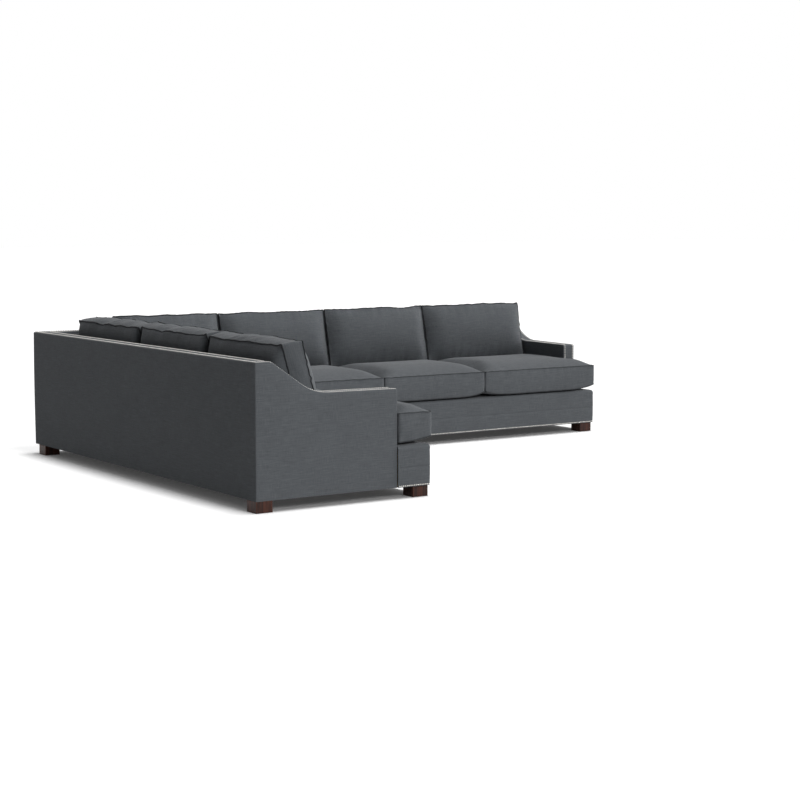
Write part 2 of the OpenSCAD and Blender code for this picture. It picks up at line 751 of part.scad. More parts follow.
module left_feet() {
  color(foot_wood) {
    left_wing()
      for (at = [left_outer_foot, ear_foot(left_l), arm_foot(left_l),
                 middle_foot(left_stretcher_2)]) foot(at);
    right_wing() for (at = [joint_rear_foot, joint_front_foot]) foot(at);
  }
}
module left_hanger_bolts() {
  color(steel) {
    left_wing()
      for (at = [left_outer_foot, ear_foot(left_l), arm_foot(left_l),
                 middle_foot(left_stretcher_2)]) hanger_bolt(at);
    right_wing() for (at = [joint_rear_foot, joint_front_foot]) hanger_bolt(at);
  }
}
module connector_sockets() {
  half = tongue_w / 2 + tongue_gap;
  color(steel) right_wing()
    for (v = connector_v)
      difference() {
        block([corner_l - connector_l, v - half - plate_t, foot_h - slot_h - plate_t],
              [corner_l, v + half + plate_t, foot_h]);
        block([corner_l - tongue_l - 2, v - half, foot_h - slot_h],
              [corner_l + 1, v + half, foot_h + 1]);
      }
}

// Straight unit, which slides off along the right wing

module right_front_rails() {
  color(timber) right_wing() {
    front_rail(right_start, right_l - ear_set - border_t);
    ear_rails(right_l);
  }
}
module right_rear_rails() {
  color(timber) right_wing() {
    sill_rail(right_start, right_in);
    spring_rail(right_start + rail_t, right_end_u);
  }
}
module right_stretchers() {
  color(timber) right_wing() {
    for (u = [right_start, right_end_u]) end_rail(u);
    for (u = [right_stretcher, right_stretcher_2]) stretcher(u);
  }
}
module right_foot_blocks() {
  color(timber) right_wing() {
    rear_block(right_first_foot);
    front_block(right_front_foot);
    ear_block(ear_foot(right_l), right_l);
    for (u = [right_stretcher, right_stretcher_2]) middle_block(middle_foot(u));
  }
}
module right_back_posts()
  color(timber) right_wing() for (u = post_places(right_start + rail_t, right_end_u, 6)) post(u);
module right_top_rail() color(timber) right_wing() top_rail(right_start, right_in);
module right_arm_boards() color(ply) right_wing() arm_boards(right_l);
module right_arm_spacers() color(timber) right_wing() arm_spacers(right_l);
module right_seat_springs() {
  color(steel) right_wing() {
    seat_springs(right_start + rail_t, seat_1, spring_v, inner_v);
    seat_springs(seat_1, seat_2, spring_v, inner_v);
    seat_springs(seat_2, right_end_u, spring_v, inner_v);
  }
}
module right_spring_clips() {
  color(steel) right_wing() {
    seat_clips(right_start + rail_t, seat_1, spring_v, inner_v);
    seat_clips(seat_1, seat_2, spring_v, inner_v);
    seat_clips(seat_2, right_end_u, spring_v, inner_v);
  }
}
module right_back_webbing()
  color(jute) right_wing() webbing(right_start + rail_t + post_t, right_end_u - post_t, 9);
module right_deck() color(cloth_dark) right_wing() deck(unit_u, right_l);
module right_inside_back() color(cloth_dark) right_wing() inside_back(unit_u, right_in);
module right_back_cover() color(cloth) right_wing() outside_back(unit_u, right_l);
module right_arm_cover() color(cloth) right_wing() arm_cover(right_l);
module right_front_border() {
  color(cloth) right_wing() {
    ear_border(unit_u, right_l);
  }
}
module right_joint_panel() color(lining) right_wing() joint_panel(unit_u);
module right_dust_cover() {
  color(lining) right_wing()
    unit_dust_cover(unit_u, right_l,
                    [right_first_foot, right_front_foot, ear_foot(right_l), arm_foot(right_l),
                     middle_foot(right_stretcher), middle_foot(right_stretcher_2)]);
}
right_feet_at = [right_first_foot, right_front_foot, ear_foot(right_l), arm_foot(right_l),
                 middle_foot(right_stretcher), middle_foot(right_stretcher_2)];
module right_feet() color(foot_wood) right_wing() for (at = right_feet_at) foot(at);
module right_hanger_bolts() color(steel) right_wing() for (at = right_feet_at) hanger_bolt(at);
module connector_tongues() {
  color(steel) right_wing()
    for (v = connector_v) {
      block([unit_u, v - tongue_w / 2, foot_h - plate_t],
            [unit_u + connector_l, v + tongue_w / 2, foot_h]);
      block([corner_l - tongue_l, v - tongue_w / 2, foot_h - plate_t - tongue_gap],
            [unit_u + connector_l / 3, v + tongue_w / 2, foot_h - tongue_gap]);
    }
}

// Loose cushions

module left_end_seat() color(cloth) left_wing() seat_cushion(left_seat_2, left_in, left_l);
module left_inner_seat() color(cloth) left_wing() seat_cushion(left_seat, left_seat_2);
module corner_seat() color(cloth) right_wing() seat_cushion(seat_v, corner_l, corner = true);
module right_inner_seat() color(cloth) right_wing() seat_cushion(unit_u, seat_1);
module right_middle_seat() color(cloth) right_wing() seat_cushion(seat_1, seat_2);
module right_end_seat() color(cloth) right_wing() seat_cushion(seat_2, right_in, right_l);
module left_end_back() color(cloth) left_wing() back_cushion(left_seat_2, left_in);
module left_inner_back() color(cloth) left_wing() back_cushion(left_seat, left_seat_2);
module corner_left_back() color(cloth) left_wing() back_cushion(seat_v, left_seat);
module corner_right_back() color(cloth) right_wing() back_cushion(corner_start, corner_l);
module right_inner_back() color(cloth) right_wing() back_cushion(unit_u, seat_1);
module right_middle_back() color(cloth) right_wing() back_cushion(seat_1, seat_2);
module right_end_back() color(cloth) right_wing() back_cushion(seat_2, right_in);

left_front_rails();
left_rear_rails();
left_stretchers();
left_foot_blocks();
left_back_posts();
left_top_rails();
left_arm_boards();
left_arm_spacers();
left_seat_springs();
left_spring_clips();
left_back_webbing();
left_deck();
corner_deck();
left_inside_back();
corner_inside_back();
left_back_cover();
corner_back_cover();
left_arm_cover();
left_front_border();
left_joint_panel();
left_dust_cover();
left_feet();
left_hanger_bolts();
connector_sockets();
right_front_rails();
right_rear_rails();
right_stretchers();
right_foot_blocks();
right_back_posts();
right_top_rail();
right_arm_boards();
right_arm_spacers();
right_seat_springs();
right_spring_clips();
right_back_webbing();
right_deck();
right_inside_back();
right_back_cover();
right_arm_cover();
right_front_border();
right_joint_panel();
right_dust_cover();
right_feet();
right_hanger_bolts();
connector_tongues();
left_end_seat();
left_inner_seat();
corner_seat();
right_inner_seat();
right_middle_seat();
right_end_seat();
left_end_back();
left_inner_back();
corner_left_back();
corner_right_back();
right_inner_back();
right_middle_back();
right_end_back();
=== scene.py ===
import math

import bmesh
import bpy
import numpy as np
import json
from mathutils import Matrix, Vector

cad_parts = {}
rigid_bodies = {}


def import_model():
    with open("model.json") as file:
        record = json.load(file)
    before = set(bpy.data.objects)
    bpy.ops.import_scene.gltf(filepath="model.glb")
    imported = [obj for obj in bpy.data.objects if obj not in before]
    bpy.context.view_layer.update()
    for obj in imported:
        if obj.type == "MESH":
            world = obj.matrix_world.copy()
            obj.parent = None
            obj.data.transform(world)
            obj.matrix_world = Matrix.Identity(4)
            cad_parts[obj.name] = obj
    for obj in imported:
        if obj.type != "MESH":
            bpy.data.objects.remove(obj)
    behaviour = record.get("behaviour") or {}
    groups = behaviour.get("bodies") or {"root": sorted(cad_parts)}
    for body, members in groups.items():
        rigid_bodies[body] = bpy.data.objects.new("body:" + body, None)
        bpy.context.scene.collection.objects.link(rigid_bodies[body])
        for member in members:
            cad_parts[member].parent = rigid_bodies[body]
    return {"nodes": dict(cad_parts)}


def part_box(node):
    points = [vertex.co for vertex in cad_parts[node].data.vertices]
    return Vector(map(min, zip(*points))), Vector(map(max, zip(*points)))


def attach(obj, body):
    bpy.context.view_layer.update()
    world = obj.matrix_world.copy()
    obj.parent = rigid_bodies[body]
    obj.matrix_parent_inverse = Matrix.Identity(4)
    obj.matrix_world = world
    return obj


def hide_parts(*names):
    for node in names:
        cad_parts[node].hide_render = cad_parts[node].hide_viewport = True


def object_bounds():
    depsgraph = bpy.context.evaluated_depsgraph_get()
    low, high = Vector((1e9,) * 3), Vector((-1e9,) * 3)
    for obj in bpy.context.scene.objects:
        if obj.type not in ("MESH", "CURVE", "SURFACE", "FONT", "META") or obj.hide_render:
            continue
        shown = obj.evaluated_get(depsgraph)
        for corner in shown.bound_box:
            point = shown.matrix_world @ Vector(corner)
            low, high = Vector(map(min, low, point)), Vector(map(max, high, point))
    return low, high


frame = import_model()
cad_low, cad_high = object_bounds()
nodes = frame["nodes"]
scene = bpy.context.scene

# Studio
# The sofa stands on a plain pale floor, seen by a long lens at standing height off the end of its
# short wing. Soft lamps light it from the front, from above and along its right, with a steeper
# front one for the long wing's backs, and others light the floor.
camera = bpy.data.objects.new("camera", bpy.data.cameras.new("camera"))
camera.data.lens = 82.37
camera.data.clip_end = 300
camera.location = (-6.4391, -9.5417, 1.5548)
camera_turn, camera_dip = 0.5931, 0.1037
camera.rotation_euler = (math.pi / 2 - camera_dip, 0, -camera_turn)
scene.collection.objects.link(camera)
scene.camera = camera
scene.view_settings.view_transform = "Standard"


class Wire:
    """An output in a node tree. Sums on values add Math nodes, and add() makes any other node."""

    def __init__(self, tree, socket=None):
        self.tree = tree
        self.socket = socket

    def feed(self, node, sockets):
        """Sets or links a node's sockets."""
        for name, value in sockets.items():
            if isinstance(value, Wire):
                self.tree.links.new(value.socket, node.inputs[name])
            else:
                node.inputs[name].default_value = value

    def add(self, kind, sockets=None, out=0, **settings):
        node = self.tree.nodes.new(kind)
        for name, value in settings.items():
            setattr(node, name, value)
        self.feed(node, sockets or {})
        return Wire(self.tree, node.outputs[out])

    def maths(self, operation, first, second=0.0):
        return self.add("ShaderNodeMath", {0: first, 1: second}, operation=operation)

    def __add__(self, other):
        return self.maths("ADD", self, other)

    def __rsub__(self, other):
        return self.maths("SUBTRACT", other, self)

    def __mul__(self, other):
        return self.maths("MULTIPLY", self, other)

    def __truediv__(self, other):
        return self.maths("DIVIDE", self, other)

    __radd__ = __add__

    def sine(self):
        return self.maths("SINE", self)

    def place(self):
        """Places in the object's own frame."""
        return self.add("ShaderNodeTexCoord", out="Object")

    def panel(self):
        """Places on the panels of cloth, in metres."""
        return self.add("ShaderNodeUVMap", uv_map="cloth")

    def part(self, axis):
        return self.add("ShaderNodeSeparateXYZ", {0: self}, axis)

    def stretched(self, scale):
        return self.add("ShaderNodeVectorMath", {0: self, 1: scale}, operation="MULTIPLY")

    def noise(self, scale, detail, roughness=0.5):
        return self.add("ShaderNodeTexNoise", {"Vector": self, "Scale": scale, "Detail": detail,
                                               "Roughness": roughness})

    def shades(self, *stops):
        made = self.add("ShaderNodeValToRGB", {"Fac": self})
        ramp = made.socket.node.color_ramp.elements
        ramp.remove(ramp[1])
        ramp[0].position, ramp[0].color = stops[0][0], (*stops[0][1], 1)
        for place, shade in stops[1:]:
            ramp.new(place).color = (*shade, 1)
        return made

    def bump(self, distance, strength):
        return self.add("ShaderNodeBump", {"Height": self, "Distance": distance,
                                           "Strength": strength})

    def dress(self, sockets):
        """Sets or links sockets of the material's shader."""
        self.feed(self.tree.nodes["Principled BSDF"], sockets)

    def dress_coarse(self, first, second, mix, stops, roughness, gloss, depth, strength):
        """Dresses a coarse cloth in a mix of two patterns, raised by their sum."""
        self.dress({"Base Color": (first * mix[0] + second * mix[1]).shades(*stops),
                    "Roughness": roughness, "Specular IOR Level": gloss,
                    "Normal": (first + second).bump(depth, strength)})


def new_finish(name):
    """A material and a wire on its tree."""
    finish = bpy.data.materials.new(name)
    finish.use_nodes = True
    return finish, Wire(finish.node_tree)


def seen_straight(wire):
    """1 on what the lens sees straight, in gloss or through glass, 0 on what lights the sofa."""
    lens, gloss, glass = (wire.add("ShaderNodeLightPath", out=f"Is {kind} Ray")
                          for kind in ("Camera", "Glossy", "Transmission"))
    return wire.maths("MAXIMUM", lens, wire.maths("MAXIMUM", gloss, glass))


def placed(name, data):
    """A new object in the scene."""
    made = bpy.data.objects.new(name, data)
    scene.collection.objects.link(made)
    return made


def shaped(name, form, finish):
    """An object from a form, which is freed."""
    mesh = bpy.data.meshes.new(name)
    form.to_mesh(mesh)
    form.free()
    mesh.materials.append(finish)
    return placed(name, mesh)


def opened(mesh):
    """A form from a mesh, with its doubled points joined."""
    form = bmesh.new()
    form.from_mesh(mesh)
    bmesh.ops.remove_doubles(form, verts=form.verts, dist=1e-5)
    return form


def netted(points, faces, uv):
    """A form from points, faces and the place on the cloth of each face's corners."""
    mesh = bpy.data.meshes.new("net")
    mesh.from_pydata(points.tolist(), [], faces.tolist())
    mesh.uv_layers.new(name="cloth").data.foreach_set("uv", uv.astype(np.float32).ravel())
    form = bmesh.new()
    form.from_mesh(mesh)
    bpy.data.meshes.remove(mesh)
    return form


def smoothed(form):
    """Turns a form's faces outwards and shades them smooth."""
    bmesh.ops.recalc_face_normals(form, faces=form.faces)
    for face in form.faces:
        face.smooth = True


def settle(made):
    """Applies an object's modifiers to its mesh."""
    graph = bpy.context.evaluated_depsgraph_get()
    done = bpy.data.meshes.new_from_object(made.evaluated_get(graph), preserve_all_data_layers=True,
                                           depsgraph=graph)
    made.modifiers.clear()
    made.data = done


def walled(made, thick, even):
    """Gives a sheet a wall behind its face."""
    wall = made.modifiers.new("wall", "SOLIDIFY")
    wall.thickness, wall.offset, wall.use_even_offset = thick, -1, even
    settle(made)


def dressed(piece, body, slot, *stood_for, fill=None):
    """Lets a piece ride on a body, in place of CAD nodes where given. The slot and fill are not
    used.
    """
    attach(piece, body)
    if stood_for:
        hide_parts(*stood_for)


def stations(start, end, step):
    """Places from start to end, about a step apart."""
    return np.linspace(start, end, max(2, int(round(abs(end - start) / step)) + 1))


floor_mesh = bpy.data.meshes.new("floor")
floor_half, floor_drop = 60.0, 0.0004
floor_mesh.from_pydata([(x * floor_half, y * floor_half, -floor_drop) for x, y in
                        ((-1, -1), (1, -1), (1, 1), (-1, 1))], [], [(0, 1, 2, 3)])
floor = placed("floor", floor_mesh)
floor_finish, wire = new_finish("pale_floor")
# The floor glows faintly white all over: painted light that lifts the shadows on it to a soft grey
# instead of black.
wire.dress({"Roughness": 1.0, "Specular IOR Level": 0.0,
            "Emission Color": (1, 1, 1, 1), "Emission Strength": 0.045,
            "Base Color": wire.add("ShaderNodeMix", {
                0: seen_straight(wire), 6: (0.30, 0.30, 0.30, 1), 7: (0.98, 0.98, 0.98, 1)}, 2,
                data_type="RGBA")})
floor_mesh.materials.append(floor_finish)

world = bpy.data.worlds.new("studio")
scene.world = world
world.use_nodes = True
wire = Wire(world.node_tree)
walls, backdrop = (wire.add("ShaderNodeBackground", {"Color": (1, 1, 1, 1), "Strength": strength})
                   for strength in (0.05, 1.0))
both = wire.add("ShaderNodeMixShader", {0: seen_straight(wire), 1: walls, 2: backdrop})
wire.feed(world.node_tree.nodes["World Output"], {"Surface": both})


def shine(made, piece, state):
    """Lets a lamp shine on a piece and no others, or on all but the piece."""
    shone_on = made.light_linking.receiver_collection
    shone_on.objects.link(piece)
    shone_on.collection_objects[shone_on.objects.find(piece.name)].light_linking.link_state = state


def lamp(name, energy, soft, source):
    """A far soft lamp that shines from a direction."""
    made = placed(name, bpy.data.lights.new(name, "SUN"))
    made.data.energy, made.data.angle = energy, math.radians(soft)
    x, y, z = np.array(source) / np.linalg.norm(source)
    made.rotation_euler = (math.acos(z), 0, math.atan2(y, x) + math.pi / 2)
    made.light_linking.receiver_collection = bpy.data.collections.new(name + "_shines_on")
    return made


key = lamp("key", 1.5, 30, (0.15, -0.85, 0.50))
back_key = lamp("back_key", 1.25, 30, (0.15, -0.62, 0.75))
for made in (key, lamp("top", 0.77, 30, (0.10, 0.0, 1.0)),
             lamp("rim", 1.8, 20, (0.95, -0.12, 0.28))):
    shine(made, floor, "EXCLUDE")
for made in (lamp("floor_dome", 0.8, 150, (0.0, 0.0, 1.0)),
             lamp("floor_top", 2.0, 14, (0.10, 0.0, 1.0)),
             lamp("floor_front", 0.53, 14, (0.10, -0.45, 0.90)),
             lamp("floor_low", 0.72, 14, (0.12, -1.0, 0.50))):
    shine(made, floor, "INCLUDE")

# Timber of the two frames
# Kiln-dried hardwood rails, stretchers and posts, butted and screwed, with glued blocks in the
# corners that take the feet. The arms are boards of birch plywood with blocks between them.


def wooden(name, dark, light, grain, roughness=0.55, gloss=0.3):
    """A wood whose grain runs along axis number grain of the object."""
    finish, wire = new_finish(name)
    across, along = 1.0, 0.045
    place = wire.place().stretched(tuple(along if axis == grain else across for axis in range(3)))
    figure = place.noise(26.0, 4.0, 0.6)
    pores = place.noise(420.0, 2.0)
    rings = (figure * 38.0).sine() * 0.5 + 0.5
    tone = rings * 0.35 + figure * 0.5 + pores * 0.25
    wire.dress({"Base Color": tone.shades((0.3, dark), (0.75, light)),
                "Roughness": roughness + pores * 0.1,
                "Specular IOR Level": gloss,
                "Normal": (pores * 0.7 + rings * 0.3).bump(0.0004, 0.5)})
    return finish


def finish_nodes(finish, *names):
    """Gives a finish to CAD nodes that keep their shape."""
    for name in names:
        for place in nodes[name].material_slots:
            place.material = finish


timber_dark, timber_light = (0.36, 0.22, 0.10), (0.60, 0.43, 0.24)
along_left, along_right, upright = 1, 0, 2
for name, grain, pieces in (
        ("left", along_left, ("left_front_rails", "left_rear_rails", "left_top_rails",
                              "left_arm_spacers")),
        ("right", along_right, ("right_front_rails", "right_rear_rails", "right_top_rail",
                                "left_stretchers")),
        ("across", along_left, ("right_stretchers", "right_arm_spacers")),
        ("upright", upright, ("left_back_posts", "right_back_posts", "left_foot_blocks",
                              "right_foot_blocks"))):
    finish_nodes(wooden(f"timber_{name}", timber_dark, timber_light, grain), *pieces)


def plied(name, across):
    """Birch plywood whose sheet's thickness lies along axis number across."""
    finish, wire = new_finish(name)
    place = wire.place()
    ply_t, face_share = 0.0015, 0.7
    layer = place.part(across) / ply_t
    facing = wire.add("ShaderNodeNewGeometry", out="Normal").part(across)
    edge = 1 - facing.maths("GREATER_THAN", facing.maths("ABSOLUTE", facing), face_share)
    plies = (layer * math.pi).sine() * 0.5 + 0.5
    grain = place.stretched((1, 0.06, 1) if across == 0 else (0.06, 1, 1)).noise(60.0, 4.0)
    tone = grain * (1 - edge) + plies * edge
    wire.dress({"Base Color": tone.shades((0.2, (0.42, 0.28, 0.14)), (0.8, (0.70, 0.53, 0.32))),
                "Roughness": 0.6})
    return finish


finish_nodes(plied("plywood_left", 1), "left_arm_boards")
finish_nodes(plied("plywood_right", 0), "right_arm_boards")

# Springs, clips, bolts and connectors
# Zigzag springs of oiled steel wire hooked in folded clips, galvanized hanger bolts in the feet,
# and pressed steel sockets and tongues that hold the two units together.


def metallic(name, colour, roughness, mark):
    """A metal with fine marks of its making, mark across."""
    finish, wire = new_finish(name)
    place = wire.place()
    marks = place.noise(1 / mark, 3.0)
    clouds = place.noise(18.0, 2.0)
    wire.dress({"Base Color": (clouds * 0.6 + marks * 0.4).shades(
                    (0.3, tuple(c * 0.7 for c in colour)), (0.7, colour)),
                "Roughness": roughness + marks * 0.18,
                "Metallic": 1.0,
                "Normal": marks.bump(0.0001, 0.6)})
    return finish


finish_nodes(metallic("spring_wire", (0.30, 0.29, 0.28), 0.32, 0.002),
             "left_seat_springs", "right_seat_springs")
zinc = metallic("zinc", (0.58, 0.60, 0.62), 0.3, 0.006)
finish_nodes(zinc, "left_spring_clips", "right_spring_clips", "left_hanger_bolts",
             "right_hanger_bolts", "connector_sockets", "connector_tongues")

# Webbing straps
# Jute straps, stretched up the backs over the posts' front and tacked at both ends. They have a
# plain weave of coarse yarn.
jute, wire = new_finish("jute")
place = wire.place()
x, y, z = (place.part(axis) for axis in range(3))
yarn = 0.0028
ribs = ((x + y) * (2 * math.pi / yarn)).sine() * (z * (2 * math.pi / yarn)).sine()
wire.dress_coarse(ribs, place.noise(700.0, 3.0), (0.25, 0.8), (
    (0.2, (0.22, 0.14, 0.06)), (0.7, (0.55, 0.40, 0.22))), 0.95, 0.2, 0.0006, 0.8)
finish_nodes(jute, "left_back_webbing", "right_back_webbing")

# Lining of the joint ends and dust covers
# The boards that close the ends where the two units meet are lined in black spun cloth. The same
# cloth is stretched under the frames against dust, holed for the feet's bolts, stapled all round.
lining, wire = new_finish("spun_lining")
place = wire.place()
wire.dress_coarse(place.noise(900.0, 2.0), place.noise(160.0, 5.0, 0.7), (0.5, 0.5), (
    (0.35, (0.008, 0.008, 0.009)), (0.7, (0.03, 0.03, 0.033))), 0.9, 0.25, 0.0003, 0.7)
finish_nodes(lining, "left_joint_panel", "right_joint_panel")
spun_t, staple_l, staple_w, staple_in, staple_pitch = 0.0006, 0.011, 0.0011, 0.009, 0.065


def staples(name, edges):
    """Staples driven up through a flat cloth inside each long edge of it."""
    form = bmesh.new()
    for edge in edges:
        first, last = (np.array(end.co) for end in edge.verts)
        l = np.linalg.norm(last - first)
        along = (last - first) / l
        inward = np.array(edge.link_faces[0].calc_center_median()) - (first + last) / 2
        inward -= along * np.dot(inward, along)
        inward /= np.linalg.norm(inward)
        for way in stations(staple_in, l - staple_in, staple_pitch):
            middle = first + along * way + inward * staple_in
            for corner in bmesh.ops.create_cube(form, size=1.0)["verts"]:
                a, b, c = corner.co
                corner.co = (middle + along * a * staple_l + inward * b * staple_w
                             + np.array((0, 0, c * staple_w)))
    return shaped(name, form, zinc)


for unit in ("left", "right"):
    node = f"{unit}_dust_cover"
    form = opened(nodes[node].data)
    form.normal_update()
    upper = [face for face in form.faces if face.normal.z > -0.5]
    bmesh.ops.delete(form, geom=upper, context="FACES")
    tacks = staples(f"{unit}_dust_staples", [
        edge for edge in form.edges if edge.is_boundary and edge.calc_length() > staple_pitch])
    flat_area = sum(face.calc_area() for face in form.faces)
    dust = shaped(f"{unit}_dust_cloth", form, lining)
    walled(dust, spun_t, False)
    low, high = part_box(node)
    dressed(dust, f"{unit}_unit", "lining", node)
    dressed(tacks, f"{unit}_unit", "spring_steel")

# Feet
# Solid square blocks with eased edges, stained dark reddish brown and lacquered, with the grain
# upright. Each one is drawn up tight to the frame by its hanger bolt.


def eased(node, name, width, finish):
    """A copy of a CAD node with its edges rounded off."""
    form = opened(nodes[node].data)
    bmesh.ops.dissolve_limit(form, angle_limit=math.radians(2), verts=form.verts,
                             edges=form.edges)
    sharp = [edge for edge in form.edges if edge.calc_face_angle(0) > math.radians(50)]
    bmesh.ops.bevel(form, geom=sharp, offset=width, segments=2, profile=0.5, affect="EDGES")
    return shaped(name, form, finish)


foot_wood = wooden("stained_wood", (0.013, 0.0045, 0.003), (0.072, 0.024, 0.015), upright,
                   0.4, 0.22)
for unit in ("left", "right"):
    feet = eased(f"{unit}_feet", f"{unit}_block_feet", 0.002, foot_wood)
    dressed(feet, f"{unit}_unit", "foot_wood", f"{unit}_feet")

# Charcoal cloth
# The sofa's own cloth, a plain weave of heathered yarns in close greys, with slubs that show as
# faint level streaks. The pattern follows each panel, in metres along and up it.


def woven(name, shade):
    """The charcoal cloth, with its colours times a shade; a shade below 1 is painted shade."""
    finish, wire = new_finish(name)
    panel = wire.panel()
    yarn = 0.0017
    u, v = (panel.part(axis) / yarn for axis in range(2))
    weave = (u * math.pi).sine() * (v * math.pi).sine()
    weft = panel.stretched((20.0, 560.0, 1.0)).noise(1.0, 3.0, 0.6)
    warp = panel.stretched((560.0, 18.0, 1.0)).noise(1.0, 3.0, 0.6)
    slubs = panel.stretched((8.0, 170.0, 1.0)).noise(1.0, 2.0, 0.5)
    clouds = panel.noise(5.0, 3.0)
    heather = weft * 0.36 + warp * 0.34 + slubs * 0.22 + weave * 0.035 + clouds * 0.08
    dark, middle, light = (tuple(part * shade for part in colour) for colour in (
        (0.083, 0.090, 0.097), (0.116, 0.125, 0.135), (0.162, 0.174, 0.187)))
    wire.dress({
        "Base Color": heather.shades((0.36, dark), (0.5, middle), (0.66, light)),
        "Roughness": 0.86 + slubs * 0.1,
        "Specular IOR Level": 0.18,
        "Sheen Weight": 0.12,
        "Sheen Roughness": 0.5,
        "Normal": (weave * 0.45 + weft * 0.5 + warp * 0.5 + slubs * 0.5).bump(0.0005, 0.5)})
    return finish


cloth = woven("charcoal_weave", 1.0)


crease_angle = math.radians(40)


def sewn(name, patches, thick=0.0, closed=False, finish=cloth):
    """One mesh from patches that meet, each of points in rows and their places on the cloth."""
    spots, corners, places = [], [], []
    start = 0
    for points, uv in patches:
        points, uv = np.asarray(points, float), np.asarray(uv, float)
        ids = np.arange(points.size // 3).reshape(points.shape[:2])
        quads = np.stack([ids[:-1, :-1], ids[1:, :-1], ids[1:, 1:], ids[:-1, 1:]], -1)
        quads = quads.reshape(-1, 4)
        spots.append(points.reshape(-1, 3))
        corners.append(quads + start)
        places.append(uv.reshape(-1, 2)[quads.ravel()])
        start += ids.size
    form = netted(*(np.concatenate(part) for part in (spots, corners, places)))
    bmesh.ops.remove_doubles(form, verts=form.verts, dist=2e-5)
    bmesh.ops.dissolve_degenerate(form, edges=form.edges, dist=1e-6)
    if closed:
        bmesh.ops.holes_fill(form, edges=[edge for edge in form.edges if edge.is_boundary])
    smoothed(form)
    made = shaped(name, form, finish)
    if thick:
        walled(made, thick, True)
    made.data.set_sharp_from_angle(angle=crease_angle)
    return made


# Places in a wing are u along it from the outer corner, v from its outside back, and z
half_x, half_y = cad_high[0], cad_high[1]
left_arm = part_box("left_arm_cover")
left_l, right_l = 2 * half_y, 2 * half_x
arm_w = left_arm[1].y - left_arm[0].y
arm_d = left_arm[1].x - left_arm[0].x
left_in, right_in = left_l - arm_w, right_l - arm_w
foot_h = left_arm[0].z
back_h = left_arm[1].z
corner_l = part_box("corner_back_cover")[1].x + half_x
unit_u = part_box("right_back_cover")[0].x + half_x
back_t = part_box("left_inside_back")[0].x + half_x


def in_left(u, v, z):
    """A place of the left wing in the sofa's frame."""
    return np.stack(np.broadcast_arrays(v - half_x, half_y - u, z), -1)


def in_right(u, v, z):
    """A place of the right wing in the sofa's frame."""
    return np.stack(np.broadcast_arrays(u - half_x, half_y - v, z), -1)


def lengths(line):
    """How far along a line each of its points lies."""
    line = np.asarray(line, float)
    return np.concatenate([[0], np.cumsum(np.linalg.norm(np.diff(line, axis=0), axis=1))])


def arc(centre, r, start, end, n):
    """Points of an arc, with angles in degrees."""
    turn = np.radians(np.linspace(start, end, n + 1))
    return np.stack([centre[0] + r * np.cos(turn), centre[1] + r * np.sin(turn)], -1)


leg_step = 0.06


def run(outline, *legs):
    """Patches of an outline in v and z along legs: (wing, from u, to u), None at the mitre."""
    outline = np.asarray(outline, float)
    up = lengths(outline)
    patches, travelled = [], 0.0
    for wing, start, end in legs:
        v, z = outline[:, 0], outline[:, 1]
        first = v if start is None else np.full_like(v, start)
        last = v if end is None else np.full_like(v, end)
        share = np.linspace(0, 1, max(2, int(abs(last[0] - first[0]) / leg_step)))[:, None]
        u = first + (last - first) * share
        level = np.abs(u - u[0, 0]) + travelled
        patches.append((wing(u, v[None, :], z[None, :]),
                        np.stack(np.broadcast_arrays(level, up[None, :]), -1)))
        travelled = level[-1].max()
    return patches


def along_backs(gap=0.0):
    """Each unit's name, its legs along the backs to a gap from the arm, and what stands there."""
    return (("left", ((in_left, left_in - gap, None), (in_right, None, corner_l)),
             ("left", "corner")),
            ("right", ((in_right, unit_u, right_in - gap),), ("right",)))


# Decks and inside backs
# Pads of fibre on the springs and on the webbing, covered in plain dark deck cloth because the
# loose cushions hide them. They are stapled down all round, so they crown a little.
deck_cloth, wire = new_finish("deck_weave")
panel = wire.panel()
threads = panel.stretched((700.0, 700.0, 1.0)).noise(1.0, 2.0)
wefts = panel.stretched((30.0, 800.0, 1.0)).noise(1.0, 3.0)
wire.dress_coarse(threads, wefts, (0.5, 0.5), (
    (0.35, (0.035, 0.036, 0.041)), (0.65, (0.085, 0.088, 0.098))), 0.9, 0.2, 0.0004, 0.6)

inside_low, inside_high = (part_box("left_inside_back")[end].z for end in (0, 1))
pad_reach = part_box("left_inside_back")[1].x + half_x
half_reach, shoulder_reach, shoulder_round = 0.2215, 0.1815, 0.06
pad_gap, foot_reach, half_drop, lap = 0.0005, 0.085, 0.045, 0.05
half_level = (inside_high + inside_low) / 2 - half_drop
shoulder = arc((shoulder_reach - shoulder_round, inside_high - shoulder_round - pad_gap),
               shoulder_round, 5, 90, 8)
inside_line = np.concatenate([
    [(back_t + foot_reach, inside_low), (pad_reach - pad_gap, inside_low)],
    [(half_reach, half_level)], shoulder,
    [(back_t, inside_high - pad_gap), (back_t, inside_high - lap)]])
for unit, legs, stood_for in along_backs(pad_gap):
    pad = sewn(f"{unit}_inside_pad", run(np.concatenate([inside_line, inside_line[:1]]), *legs),
               closed=True, finish=deck_cloth)
    dressed(pad, f"{unit}_unit", "deck_cloth", *(f"{side}_inside_back" for side in stood_for),
            fill=0.9)
for side, unit in (("left", "left_unit"), ("corner", "left_unit"), ("right", "right_unit")):
    pad = eased(f"{side}_deck", f"{side}_deck_pad", 0.012, deck_cloth)
    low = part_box(f"{side}_deck")[0]
    mesh = pad.data
    layer = mesh.uv_layers.new(name="cloth")
    for face in mesh.polygons:
        face.use_smooth = True
        flat = abs(face.normal.z) > 0.5
        for corner in face.loop_indices:
            place = mesh.vertices[mesh.loops[corner].vertex_index].co - low
            layer.data[corner].uv = (place.x, place.y) if flat else (place.x + place.y, place.z)
    mesh.set_sharp_from_angle(angle=crease_angle)
    dressed(pad, unit, "deck_cloth", f"{side}_deck", fill=0.9)

